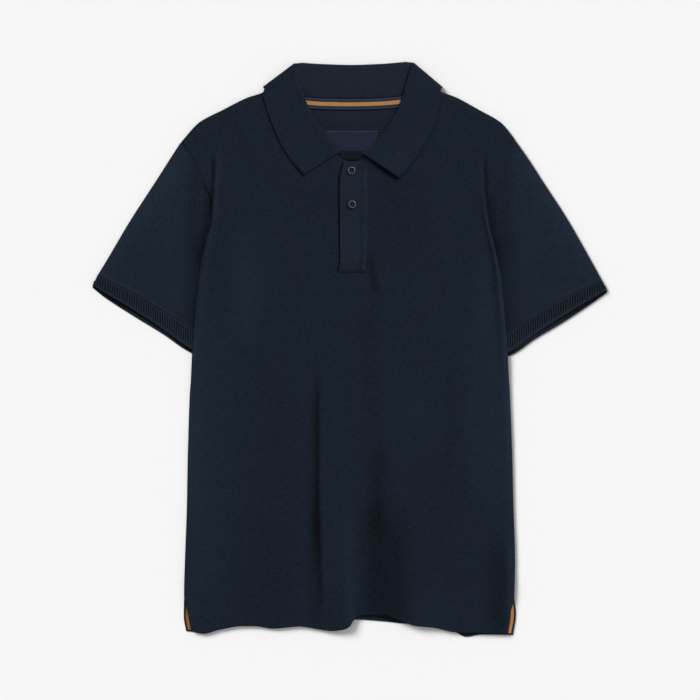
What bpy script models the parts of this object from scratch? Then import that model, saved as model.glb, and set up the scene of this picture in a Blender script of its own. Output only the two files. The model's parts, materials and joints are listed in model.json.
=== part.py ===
"""A short-sleeved polo shirt laid flat on its back, one closed wall for each sewn piece.

Lengths in the tables and functions are millimetres; a mesh is made in metres. +X is the wearer's
left, +Y runs from the hem to the collar and +Z is up. The floor is z = 0.
"""

import math
from collections import namedtuple

import bpy
from mathutils import Vector
from mathutils.bvhtree import BVHTree

MILLIMETRE = 0.001
WALL = 1.2  # knitted cloth
TRIM_WALL = 1.0  # tapes, label and the under placket
SEAM = 0.3  # clearance where a piece lies on another, or is sewn edge to edge
ARMHOLE_SEAM = 0.5  # the same round a curve
NECK_SEAM = 0.8
LAYER = WALL + SEAM

NAVY = (0.0105, 0.0160, 0.0265)
SLEEVE_NAVY = (0.0120, 0.0175, 0.0275)
TRIM_NAVY = (0.0150, 0.0200, 0.0400)
ORANGE = (0.5300, 0.1850, 0.0450)
BUTTON_NAVY = (0.0110, 0.0150, 0.0240)

ARMHOLE_STEPS = 12  # grid lines that the front, the back and the sleeve share
FRONT_STEPS = 16  # grid lines from the armpit to the hem
BACK_STEPS = 12
SHOULDER_ROLL = 9.0  # how far in from an edge the cloth has rounded up to its own level
SIDE_ROLL = 11.0
CHEST_LEVEL = 3.2  # underside of the front away from its edges and folds
NECK_LEVEL = 4.5  # underside of the front below the collar leaf


def table(columns, *rows):
    """Rows with named columns."""
    row = namedtuple("Row", columns)
    return [row(*values) for values in rows]


# The side edges of the front, shoulder to hem: armhole, the roll over the sleeve, side, vent.
# `edge` is the height of the underside there, `roll` how much a soft roll adds just inside it.
FRONT_SIDES = table(
    "right_x right_y left_x left_y edge roll",
    (-221.4, 272.7, 220.1, 270.0, 1.5, 0.0),
    (-211.6, 258.2, 211.6, 254.3, 3.0, 0.0),
    (-201.0, 240.5, 200.4, 234.5, 3.5, 0.3),
    (-191.3, 218.8, 190.8, 212.2, 3.6, 0.8),
    (-183.0, 196.4, 181.4, 191.2, 3.7, 1.6),
    (-182.9, 170.2, 182.2, 167.5, 3.7, 2.4),
    (-190.2, 139.9, 188.4, 139.9, 3.7, 2.8),
    (-199.3, 91.3, 198.4, 91.3, 3.8, 2.6),
    (-204.3, 41.4, 203.2, 41.4, 4.1, 2.2),
    (-207.2, -3.3, 206.7, -3.3, 4.1, 1.6),
    (-210.2, -66.4, 210.2, -66.4, 1.6, 0.8),
    (-212.9, -132.1, 212.9, -132.1, 1.5, 0.6),
    (-214.4, -210.9, 214.8, -210.9, 1.5, 0.5),
    (-216.8, -276.6, 216.8, -276.6, 1.6, 0.4),
    (-217.9, -321.3, 215.8, -321.3, 2.8, 0.2),
    (-215.8, -334.4, 213.9, -334.4, 2.8, 0.0),
    (-212.2, -347.6, 210.2, -347.6, 2.9, 0.0),
    (-207.8, -370.5, 206.3, -373.8, 2.9, 0.0),
)

# The seam that the sleeve and the back share, from the shoulder to the armpit.
ARMHOLE = table(
    "right_x right_y left_x left_y",
    (-221.4, 272.7, 220.1, 270.0),
    (-211.6, 258.2, 211.6, 254.3),
    (-201.0, 240.5, 200.4, 234.5),
    (-191.3, 218.8, 190.8, 212.2),
    (-182.3, 196.4, 180.7, 191.2),
    (-180.0, 163.6, 179.4, 159.7),
    (-180.7, 130.7, 180.0, 128.1),
    (-186.6, 84.8, 186.6, 83.4),
    (-192.5, 51.9, 192.5, 49.3),
)

# The side edges of the back below the armpit.
BACK_SIDES = table(
    "right_x right_y left_x left_y",
    (-193.2, 19.0, 193.2, 17.7),
    (-194.5, -6.0, 194.5, -8.5),
    (-202.4, -21.7, 202.4, -24.3),
    (-209.6, -46.6, 209.6, -46.6),
    (-210.9, -66.4, 210.4, -66.4),
    (-212.9, -132.1, 212.9, -132.1),
    (-214.4, -210.9, 214.8, -210.9),
    (-216.8, -276.6, 216.8, -276.6),
    (-217.9, -321.3, 215.8, -321.3),
    (-218.4, -350.0, 217.8, -348.0),
    (-215.3, -369.9, 213.9, -375.1),
)

# The shoulder line and, between the two neck points, the front and the back neck seams.
RIGHT_SHOULDER = table(
    "x y",
    (-221.4, 272.7),
    (-212.9, 282.8),
    (-205.6, 291.1),
    (-197.1, 298.9),
    (-166.9, 314.7),
    (-135.3, 330.5),
    (-114.8, 337.3),
    (-97.9, 349.5),
)
LEFT_SHOULDER = table(
    "x y",
    (103.0, 352.0),
    (119.6, 338.6),
    (140.6, 330.5),
    (169.5, 314.7),
    (197.1, 298.9),
    (206.3, 289.3),
    (213.5, 279.8),
    (220.1, 270.0),
)
FRONT_NECK = table(
    "x y",
    (-93.9, 333.1),
    (-85.4, 314.7),
    (-72.3, 292.4),
    (-55.2, 271.4),
    (-36.8, 259.5),
    (-17.1, 256.2),
    (-12.0, 251.8),
    (-7.0, 248.6),
    (2.6, 247.0),
    (13.0, 248.4),
    (19.1, 254.6),
    (40.7, 258.5),
    (55.2, 268.7),
    (71.0, 288.4),
    (86.1, 310.8),
    (96.5, 333.0),
)
BACK_NECK = table(
    "x y",
    (-85.0, 337.2),
    (-64.0, 331.6),
    (-35.0, 328.9),
    (2.0, 328.3),
    (38.0, 329.2),
    (68.0, 332.1),
    (90.0, 338.2),
)

FRONT_HEM = table(
    "x y",
    (-207.8, -370.5),
    (-191.8, -373.2),
    (-172.1, -368.2),
    (-140.6, -363.2),
    (-126.1, -363.2),
    (-100.4, -366.5),
    (-65.7, -363.7),
    (-42.0, -367.3),
    (-25.0, -369.5),
    (-11.8, -368.2),
    (-1.3, -364.5),
    (5.9, -354.1),
    (14.5, -348.7),
    (46.0, -348.5),
    (64.4, -355.4),
    (85.4, -362.4),
    (113.0, -365.6),
    (135.3, -370.8),
    (161.6, -372.1),
    (206.3, -373.8),
)
BACK_HEM = table(
    "x y",
    (-215.3, -369.9),
    (-191.8, -371.9),
    (-140.6, -360.7),
    (-65.7, -360.7),
    (9.2, -354.9),
    (44.7, -357.1),
    (71.0, -360.2),
    (118.3, -364.0),
    (138.0, -370.8),
    (151.5, -377.4),
    (173.4, -374.5),
    (213.9, -375.1),
)

# Folds of the front. A fold runs down from top_y to bottom_y through three places across, and
# its cross-section is a soft bell with its own width on either side. A negative rise is a crease.
FOLDS = table(
    "top_y bottom_y top_x mid_x bottom_x top_rise bottom_rise right_width left_width",
    (-32.0, -310.0, -39.6, -40.4, -35.0, 1.2, 3.0, 4.6, 22.0),  # the crest beside the long crease
    (-150.0, -376.0, -16.0, -9.0, -4.0, 0.2, 4.4, 24.0, 10.0),  # the lobe at the hem
    (-120.0, -376.0, 43.0, 58.0, 72.0, 0.5, 5.0, 28.0, 46.0),  # the crest past the hollow
    (104.0, -130.0, 38.5, 36.0, 44.0, 0.9, 0.6, 10.0, 26.0),  # beside the trough below the placket
    (4.0, -172.0, 151.0, 152.0, 150.0, 0.9, 1.2, 22.0, 16.0),  # the step at the left side
    (-215.0, -352.0, -150.0, -162.0, -174.0, -0.8, -1.1, 22.0, 26.0),
    (-240.0, -350.0, 203.0, 203.5, 202.0, 0.8, 1.9, 14.0, 7.0),
    (210.0, 60.0, -105.0, -110.0, -112.0, 0.3, 0.7, 45.0, 40.0),
    (205.0, 60.0, 112.0, 116.0, 118.0, 0.3, 0.6, 40.0, 45.0),
)

# Where the front has a grid line: across the shoulders for the neck, across the hem for its folds.
NECK_COLUMNS = (-97.9, -93.9, -85.4, -72.3, -55.2, -17.1, -12.0, -6.0, -2.0, 8.0, 15.5, 19.1, 71.0,
                86.1, 96.5, 103.0)
FOLD_COLUMNS = (-172, -150, -128, -104, -54, -48, -44.5, -42.0, -39.5, -35, -24, -8, 4, 12, 20, 34,
                48, 60, 70, 84, 104, 128, 150, 172)
EDGE_COLUMNS = (0.0, 1.4, 4.0, 8.0, 13.0, 21.0)
BACK_COLUMNS = (-221.4, -200, -150, -122, -110, -97.9, -85, -64, -35, 2, 20, 45, 70, 90, 103, 121,
                142, 156, 179, 220.1)
FRONT_EDGE_ROWS = (0.004, 0.011, 0.978, 0.992)
BACK_EDGE_ROWS = (0.012, 0.043, 0.072, 0.98)

# The collar, a row for each section from its front end to the peak at the shoulder: the fold
# line, the leaf's outer edge, and how far the leaf stands off the front.
RIGHT_COLLAR = table(
    "fold_x fold_y leaf_x leaf_y lift",
    (-13.7, 258.9, -60.6, 229.3, 0.8),
    (-21.0, 268.5, -70.3, 239.8, 0.4),
    (-35.7, 288.7, -86.1, 260.8, 0.1),
    (-50.5, 310.8, -98.6, 285.8, 0.0),
    (-59.7, 331.0, -108.4, 312.1, 0.0),
    (-67.0, 352.8, -115.2, 334.4, 0.0),
)
LEFT_COLLAR = table(
    "fold_x fold_y leaf_x leaf_y lift",
    (15.8, 257.4, 64.1, 225.2, 3.2),
    (26.8, 264.8, 74.9, 235.9, 1.7),
    (37.8, 277.7, 90.7, 259.5, 0.6),
    (52.6, 297.9, 105.9, 283.2, 0.1),
    (66.4, 325.5, 113.7, 304.2, 0.0),
    (74.6, 354.9, 118.9, 327.8, 0.0),
)
RIGHT_PEAK = table("fold_x fold_y leaf_x leaf_y neck_x neck_y", (-72.5, 376.0, -114.4, 344.6, -97.0, 351.0))
LEFT_PEAK = table("fold_x fold_y leaf_x leaf_y neck_x neck_y", (82.8, 377.1, 121.6, 344.3, 103.4, 359.7))
BACK_COLLAR = table(
    "fold_x fold_y leaf_x leaf_y",
    (-63.0, 376.6, -102.0, 335.0),
    (-38.0, 375.0, -66.0, 320.0),
    (2.0, 373.8, 4.0, 309.5),
    (42.0, 375.2, 76.0, 319.0),
    (73.0, 377.8, 110.0, 336.0),
)
COLLAR_AXIS = 3.6  # height of the line that the collar wraps round at each peak
STAND_RADIUS = 1.5  # from that line to the middle of the stand
LEAF_RADIUS = 3.0  # and to the middle of the leaf
FOLD_OPENING = 0.9  # how much further apart stand and leaf are at their fold
FOLD_REACH = 10.0
PEAK_RETURN = 0.9
LEAF_AREA = (4.6, 367.3, 140.0, 66.5)  # centre and half sides of the ellipse over the back leaf

# The sleeve: its outer edge from the shoulder, and the cuff seam from that edge to the underarm.
SLEEVE_EDGE = table(
    "right_x right_y left_x left_y",
    (-221.4, 272.7, 220.1, 270.0),
    (-237.4, 248.8, 234.8, 249.5),
    (-254.2, 222.4, 251.9, 223.1),
    (-288.3, 169.9, 285.9, 170.6),
    (-319.4, 117.4, 316.0, 117.9),
    (-331.7, 97.2, 331.1, 90.5),
)
CUFF_SEAM = table(
    "right_x right_y left_x left_y",
    (-331.7, 97.2, 331.1, 90.5),
    (-308.8, 86.7, 305.4, 79.6),
    (-285.5, 74.9, 281.2, 68.1),
    (-259.8, 59.5, 265.4, 59.0),
    (-230.3, 42.0, 233.9, 38.9),
    (-197.8, 21.7, 198.4, 15.8),
)
# The cuff's lower edges: the layer on the floor, and how far up the shirt the top layer ends.
CUFF_EDGE = table(
    "right_x right_y left_x left_y short",
    (-338.3, 81.2, 337.6, 74.8, 3.2),
    (-323.7, 69.4, 321.0, 62.9, 5.9),
    (-284.3, 43.8, 281.6, 36.7, 7.9),
    (-244.9, 19.5, 242.2, 13.0, 6.4),
    (-218.6, 1.1, 215.9, -5.4, 5.3),
    (-200.0, -9.3, 200.4, -12.3, 4.5),
)
SLEEVE_LOFT = 3.2  # thickness of the flattened sleeve at its edges
SLEEVE_RISE = 1.7  # what its middle adds
CUFF_LOFT = 2.9
CUFF_RIBS = 88
RIB_HEIGHT = 0.35
RIB_BAND = (0.10, 0.68)  # the ribbed part of the cuff, from seam to edge

PLACKET = table(
    "y free_x seam_x",
    (246.6, -7.6, 14.0),
    (244.0, -8.6, 21.5),
    (238.5, -9.9, 23.3),
    (226.7, -12.6, 23.3),
    (209.6, -13.4, 23.3),
    (190.0, -13.4, 23.3),
    (165.0, -13.2, 23.2),
    (140.0, -13.1, 22.9),
    (118.0, -13.1, 22.0),
    (101.2, -15.0, 21.0),
)
UNDER_PLACKET_SHOWS = 2.6  # at the top, and less further down
UNDER_PLACKET_TUCK = 0.65
UNDER_PLACKET_INSET = 2.0  # how far its hidden side stops short of the placket's seam
BUTTON_CENTRES = ((2.1, 234.6), (2.8, 190.3))
BUTTON_DIAMETER = 10.0
BUTTON_THICKNESS = 2.3

NECK_TAPE_WIDTH = 14.0
NECK_TAPE_OVER = 0.6  # how far it reaches past the neck seam
NECK_TAPE_ENDS = (-87.0, 87.0)
LABEL_SIZE = (69.0, 42.0)
LABEL_TOP = (1.5, 287.8)
# The tab between the leaves: its top edge, which dips, and the level where its sides turn down.
TAB = table("y right_x left_x dip", (261.2, -14.2, 18.6, 0.8), (258.0, -13.2, 15.3, 0.0))
TAB_GAP = 0.5  # in plan, from the neck of the front
VENT_TAPE_WIDTH = 9.0
VENT_TAPE_INSET = 2.7  # from the edge of the back
VENT_TAPE_LENGTH = 37.0


def smooth(low, high, value):
    """0 below `low`, 1 above `high` and a soft step between them."""
    t = min(max((value - low) / (high - low), 0.0), 1.0)
    return t * t * (3.0 - 2.0 * t)


def rounding(distance, radius):
    """A quarter circle: 0 at an edge, 1 from `radius` inwards."""
    t = min(max(distance / radius, 0.0), 1.0)
    return math.sqrt(1.0 - (1.0 - t) ** 2)


def blend(a, b, t):
    return a + (b - a) * t


def read(keys, values, at):
    """The smooth curve through (keys, values), with no overshoot, where `keys` increase."""
    if at <= keys[0]:
        return values[0]
    if at >= keys[-1]:
        return values[-1]
    i = next(n for n in range(len(keys) - 1) if at <= keys[n + 1])
    slopes = [(values[n + 1] - values[n]) / (keys[n + 1] - keys[n]) for n in range(len(keys) - 1)]

    def tangent(n):
        if n == 0:
            return slopes[0]
        if n == len(keys) - 1:
            return slopes[-1]
        if slopes[n - 1] * slopes[n] <= 0.0:
            return 0.0
        return 2.0 * slopes[n - 1] * slopes[n] / (slopes[n - 1] + slopes[n])

    span = keys[i + 1] - keys[i]
    t = (at - keys[i]) / span
    return (
        values[i] * (2 * t**3 - 3 * t**2 + 1)
        + tangent(i) * span * (t**3 - 2 * t**2 + t)
        + values[i + 1] * (3 * t**2 - 2 * t**3)
        + tangent(i + 1) * span * (t**3 - t**2)
    )


class Path:
    """A plan curve through points, read from 0 at its first point to 1 at its last."""

    def __init__(self, points):
        self.points = [Vector(p) for p in points]
        self.keys = [0.0]
        for a, b in zip(self.points, self.points[1:]):
            self.keys.append(self.keys[-1] + (b - a).length)
        self.length = self.keys[-1]

    def at(self, fraction):
        distance = fraction * self.length
        return Vector([read(self.keys, [p[k] for p in self.points], distance)
                       for k in range(len(self.points[0]))])


class Outline:
    """A height over x, such as a hem or the shoulders with the neck between them."""

    def __init__(self, rows):
        self.x = [row.x for row in rows]
        self.y = [row.y for row in rows]

    def at(self, fraction):
        x = blend(self.x[0], self.x[-1], fraction)
        return Vector((x, read(self.x, self.y, x)))


class Sides:
    """Both side edges of a panel, read by how far down they are, with any further columns."""

    def __init__(self, rows):
        self.rows = rows
        middles = [(row.right_y + row.left_y) / 2 for row in rows]
        self.keys = [(middles[0] - m) / (middles[0] - middles[-1]) for m in middles]

    def value(self, column, down):
        return read(self.keys, [getattr(row, column) for row in self.rows], down)

    def right(self, down):
        return Vector((self.value("right_x", down), self.value("right_y", down)))

    def left(self, down):
        return Vector((self.value("left_x", down), self.value("left_y", down)))


def patch(top, bottom, right, left, across, down):
    """A point of the surface spanned by four edges (a Coons patch), in plan."""
    rows = top.at(across) * (1 - down) + bottom.at(across) * down
    columns = right(down) * (1 - across) + left(down) * across
    upper = top.at(0) * (1 - across) + top.at(1) * across
    lower = bottom.at(0) * (1 - across) + bottom.at(1) * across
    return rows + columns - (upper * (1 - down) + lower * down)


def material(name, colour, roughness):
    made = bpy.data.materials.new(name)
    made.use_nodes = True
    made.diffuse_color = (*colour, 1.0)
    surface = made.node_tree.nodes["Principled BSDF"]
    surface.inputs["Base Color"].default_value = (*colour, 1.0)
    surface.inputs["Roughness"].default_value = roughness
    surface.inputs["Metallic"].default_value = 0.0
    return made


def add_object(name, points, faces, colour, roughness=0.85):
    """A mesh object from points in millimetres, shaded smooth."""
    mesh = bpy.data.meshes.new(name)
    mesh.from_pydata([tuple(value * MILLIMETRE for value in p) for p in points], [], faces)
    mesh.materials.append(material(name, colour, roughness))
    mesh.shade_smooth()
    mesh.set_sharp_from_angle(angle=math.radians(50))
    made = bpy.data.objects.new(name, mesh)
    bpy.context.scene.collection.objects.link(made)
    return made


def grid_faces(rows, columns, first, flip, loop=False):
    """Quads of a grid whose points start at `first`; a loop joins the last column to the first."""
    faces = []
    for j in range(rows - 1):
        for i in range(columns if loop else columns - 1):
            k = (i + 1) % columns
            quad = [j * columns + i, (j + 1) * columns + i, (j + 1) * columns + k, j * columns + k]
            faces.append([first + n for n in (reversed(quad) if flip else quad)])
    return faces


def wall(name, outer, inner, colour, roughness=0.85):
    """A closed wall between two grids of the same size; `outer` faces up where x and -y grow."""
    rows, columns = len(outer), len(outer[0])
    count = rows * columns
    points = [p for row in outer for p in row] + [p for row in inner for p in row]
    faces = grid_faces(rows, columns, 0, False) + grid_faces(rows, columns, count, True)
    border = [(0, i) for i in range(columns)]
    border += [(j, columns - 1) for j in range(1, rows)]
    border += [(rows - 1, i) for i in range(columns - 2, -1, -1)]
    border += [(j, 0) for j in range(rows - 2, 0, -1)]
    ring = [j * columns + i for j, i in border]
    for a, b in zip(ring, ring[1:] + ring[:1]):
        faces.append([a, b, b + count, a + count])
    return add_object(name, points, faces, colour, roughness)


def slab(name, under, thickness, colour, roughness=0.85):
    """A wall of one thickness straight up from a grid of points."""
    outer = [[(x, y, z + thickness) for x, y, z in row] for row in under]
    return wall(name, outer, under, colour, roughness)


def tube(name, outer, inner, colour):
    """A closed wall between two sets of rings, open at both ends."""
    rows, columns = len(outer), len(outer[0])
    count = rows * columns
    points = [p for row in outer for p in row] + [p for row in inner for p in row]
    faces = grid_faces(rows, columns, 0, False, loop=True)
    faces += grid_faces(rows, columns, count, True, loop=True)
    last = (rows - 1) * columns
    for i in range(columns):
        k = (i + 1) % columns
        faces.append([i, k, k + count, i + count])
        faces.append([last + k, last + i, last + i + count, last + k + count])
    return add_object(name, points, faces, colour)


def back_under(x, y):
    """The underside of the back: on the floor, but over the collar's back leaf."""
    centre_x, centre_y, half_x, half_y = LEAF_AREA
    reach = math.hypot((x - centre_x) / half_x, (y - centre_y) / half_y)
    return LAYER * (1.0 - smooth(1.03, 1.20, reach))


def fold_rise(x, y):
    """What the folds add to the front's height."""
    total = 0.0
    for fold in FOLDS:
        t = (fold.top_y - y) / (fold.top_y - fold.bottom_y)
        fade = smooth(-0.25, 0.1, t) * (1.0 - smooth(0.98, 1.2, t))
        t = min(max(t, 0.0), 1.0)
        crest = read((0.0, 0.5, 1.0), (fold.top_x, fold.mid_x, fold.bottom_x), t)
        width = fold.right_width if x < crest else fold.left_width
        rise = blend(fold.top_rise, fold.bottom_rise, t * t)
        total += fade * rise * math.exp(-(((x - crest) / width) ** 2))
    return total


def front_level(x, y):
    """The underside of the front away from its edges."""
    reach = math.hypot((x - 2.0) / 128.0, (y - 315.0) / 103.0)
    return blend(NECK_LEVEL, CHEST_LEVEL + fold_rise(x, y), smooth(1.0, 1.4, reach))


def panel_fractions():
    """The front's grid lines across, from 0 at the wearer's right to 1 at the left."""
    top = FRONT_SIDES[0]
    bottom = FRONT_SIDES[-1]
    found = [(x - top.right_x) / (top.left_x - top.right_x) for x in NECK_COLUMNS]
    width = bottom.left_x - bottom.right_x
    found += [(x - bottom.right_x) / width for x in FOLD_COLUMNS]
    for distance in EDGE_COLUMNS:
        found += [distance / width, 1.0 - distance / width]
    return sorted(found)


def row_fractions(steps, extra):
    """Grid lines down a panel: the armhole's, then even steps to the hem, and some extra ones."""
    heights = [(row.right_y + row.left_y) / 2 for row in (ARMHOLE[0], ARMHOLE[-1], FRONT_SIDES[-1])]
    armpit = (heights[0] - heights[1]) / (heights[0] - heights[2])
    found = [armpit * n / ARMHOLE_STEPS for n in range(ARMHOLE_STEPS + 1)]
    found += [blend(armpit, 1.0, n / steps) for n in range(1, steps + 1)]
    return sorted([*found, *extra])


def add_front():
    """The front, with the placket's slit under the placket left closed."""
    top = Outline(RIGHT_SHOULDER + FRONT_NECK + LEFT_SHOULDER)
    bottom = Outline(FRONT_HEM)
    sides = Sides(FRONT_SIDES)
    neck = (RIGHT_SHOULDER[-1].x, LEFT_SHOULDER[0].x)
    columns = panel_fractions()
    under = []
    for down in row_fractions(FRONT_STEPS, FRONT_EDGE_ROWS):
        row = []
        for across in columns:
            x, y = patch(top, bottom, sides.right, sides.left, across, down)
            start = top.at(across)
            side = min((Vector((x, y)) - sides.right(down)).length,
                       (Vector((x, y)) - sides.left(down)).length)
            edge = sides.value("edge", down)
            z = blend(edge, front_level(x, y), rounding(side, SIDE_ROLL))
            z += sides.value("roll", down) * math.exp(-(((side - 8.0) / 7.0) ** 2)) * rounding(side, 8.0)
            if not neck[0] < start.x < neck[1]:
                low = back_under(x, y) + LAYER
                z = blend(low, z, rounding((Vector((x, y)) - start).length, SHOULDER_ROLL))
            row.append((x, y, max(z, back_under(x, y) + LAYER)))
        under.append(row)
    return slab("front", under, WALL, NAVY)


def add_back():
    """The back, flat on the floor except over the collar's back leaf."""
    top = Outline(RIGHT_SHOULDER + BACK_NECK + LEFT_SHOULDER)
    bottom = Outline(BACK_HEM)
    sides = Sides([*ARMHOLE, *BACK_SIDES])
    start, width = top.x[0], top.x[-1] - top.x[0]
    columns = [(x - start) / width for x in BACK_COLUMNS]
    under = []
    for down in row_fractions(BACK_STEPS, BACK_EDGE_ROWS):
        plan = [patch(top, bottom, sides.right, sides.left, across, down) for across in columns]
        under.append([(x, y, back_under(x, y)) for x, y in plan])
    return slab("back", under, WALL, NAVY)


def front_edge(y):
    """How far out the front's side edge is at a height of the shirt."""
    return read([-(row.right_y + row.left_y) / 2 for row in FRONT_SIDES],
                [(row.left_x - row.right_x) / 2 for row in FRONT_SIDES], -y)


def flat_ring(loft, thickness, length, steps_top, steps_floor):
    """The section of a flattened tube: distance in from the outer edge, height, share of rise.

    It starts on the floor near the outer edge, turns up round that edge, crosses on top, turns
    down at the other edge and comes back along the floor. A thickness of 0 gives its outside.
    """
    middle = loft / 2
    radius = middle - thickness
    turns = (-90, -45, 0, 45, 90)
    near = [(middle - radius * math.cos(math.radians(a)),
             middle + radius * math.sin(math.radians(a)), 0.0) for a in turns]
    far = [(length - d, z, 0.0) for d, z, _ in reversed(near)]
    top = [(length * t, loft - thickness, math.sin(math.pi * t) ** 0.8) for t in steps_top]
    floor = [(length * t, thickness, 0.0) for t in reversed(steps_floor)]
    return near + top + far + floor


def side_path(rows, side, shift=0.0):
    """One side's plan curve from a table that holds both, moved outwards by `shift`."""
    sign = -1.0 if side == "right" else 1.0
    return Path([(getattr(row, side + "_x") + sign * shift, getattr(row, side + "_y")) for row in rows])


def add_sleeve(side):
    """A short sleeve, a flattened tube from the armhole to the cuff seam."""
    sides = Sides([*ARMHOLE, *BACK_SIDES])
    edges = sides.right if side == "right" else sides.left
    armpit = sides.keys[len(ARMHOLE) - 1]
    clearance = Vector((-ARMHOLE_SEAM if side == "right" else ARMHOLE_SEAM, 0.0))
    armhole = Path([edges(armpit * n / 48) + clearance for n in range(49)])
    steps = [armhole.keys[48 * n // ARMHOLE_STEPS] / armhole.length for n in range(1, ARMHOLE_STEPS)]
    seam = side_path(CUFF_SEAM, side)
    edge = Path([armhole.at(0), *side_path(SLEEVE_EDGE, side).points[1:]])
    underarm = Path([armhole.at(1), seam.at(1)])
    outer, inner = [], []
    for down in (0.0, 0.07, 0.18, 0.32, 0.50, 0.68, 0.84, 0.94, 1.0):
        plan = [patch(armhole, seam, edge.at, underarm.at, n / 24, down) for n in range(25)]
        length = sum((b - a).length for a, b in zip(plan, plan[1:]))
        for thickness, rings in ((0.0, outer), (WALL, inner)):
            ring = []
            for distance, z, share in flat_ring(SLEEVE_LOFT, thickness, length, steps, steps):
                across = min(max(distance / length, 0.0), 1.0)
                x, y = patch(armhole, seam, edge.at, underarm.at, across, down)
                clear = abs(x) - front_edge(y)
                rise = SLEEVE_RISE * share * smooth(2.0, 34.0, clear) * (1.0 - 0.8 * smooth(0.8, 1.0, down))
                ring.append((x, y, z + rise))
            rings.append(ring)
    if side == "left":
        outer = [list(reversed(ring)) for ring in outer]
        inner = [list(reversed(ring)) for ring in inner]
    return tube("sleeve_" + side, outer, inner, SLEEVE_NAVY)


def resample(section, count):
    """`count` places evenly spaced round a closed section, with the direction away from it."""
    points = [Vector(p[:2]) for p in section]
    keys = [0.0]
    for a, b in zip(points, points[1:] + points[:1]):
        keys.append(keys[-1] + (b - a).length)
    found = []
    for n in range(count):
        distance = keys[-1] * n / count
        i = next(k for k in range(len(points)) if distance < keys[k + 1])
        a, b = points[i], points[(i + 1) % len(points)]
        along = (b - a).normalized()
        place = a + along * (distance - keys[i])
        found.append((place, Vector((-along.y, along.x))))
    return found


def add_cuff(side):
    """A cuff, ribbed next to its seam and plain at its edge, whose top layer is the shorter."""
    seam = side_path(CUFF_SEAM, side)
    floor_edge = side_path(CUFF_EDGE, side)
    top_edge = Path([(p.x, p.y + row.short) for p, row in zip(floor_edge.points, CUFF_EDGE)])
    count = 2 * CUFF_RIBS
    coarse = 4
    even = [n / 12 for n in range(1, 12)]

    def place(section_point, down):
        distance, z = section_point
        across = min(max(distance / seam.length, 0.0), 1.0)
        height = min(max(z / CUFF_LOFT, 0.0), 1.0)
        end = floor_edge.at(across) * (1 - height) + top_edge.at(across) * height
        start = seam.at(across)
        start += (end - start).normalized() * SEAM
        plan = start * (1 - down) + end * down
        return (plan.x, plan.y, z + RIB_HEIGHT)

    outside = resample(flat_ring(CUFF_LOFT, 0.0, seam.length, even, even), count)
    inside = resample(flat_ring(CUFF_LOFT, WALL, seam.length, even, even), count // coarse)
    loops = []
    for down in (0.0, *RIB_BAND, 1.0):
        if down in RIB_BAND:
            loops.append([place(p + away * (RIB_HEIGHT * (n % 2)), down)
                          for n, (p, away) in enumerate(outside)])
        else:
            loops.append([place(p, down) for p, _ in outside[::coarse]])
    loops.append([place(p, 0.0) for p, _ in inside])
    loops.append([place(p, 1.0) for p, _ in inside])
    starts = [sum(len(loop) for loop in loops[:n]) for n in range(len(loops))]
    faces = []

    def plain(a, b):
        size = len(loops[a])
        for i in range(size):
            k = (i + 1) % size
            faces.append([starts[a] + i, starts[b] + i, starts[b] + k, starts[a] + k])

    def ribbed(plain_loop, rib_loop, flip):
        size = len(loops[plain_loop])
        for i in range(size):
            k = (i + 1) % size
            ribs = [starts[rib_loop] + (i * coarse + n) % count for n in range(coarse + 1)]
            a, b = starts[plain_loop] + i, starts[plain_loop] + k
            fan = [[a, ribs[n], ribs[n + 1]] for n in range(coarse // 2)]
            fan.append([a, ribs[coarse // 2], b])
            fan += [[b, ribs[n], ribs[n + 1]] for n in range(coarse // 2, coarse)]
            faces.extend([list(reversed(f)) for f in fan] if flip else fan)

    ribbed(0, 1, False)
    plain(1, 2)
    ribbed(3, 2, True)
    plain(3, 5)
    plain(5, 4)
    plain(4, 0)
    if side == "left":
        faces = [list(reversed(face)) for face in faces]
    return add_object("cuff_" + side, [p for loop in loops for p in loop], faces, SLEEVE_NAVY)


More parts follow.
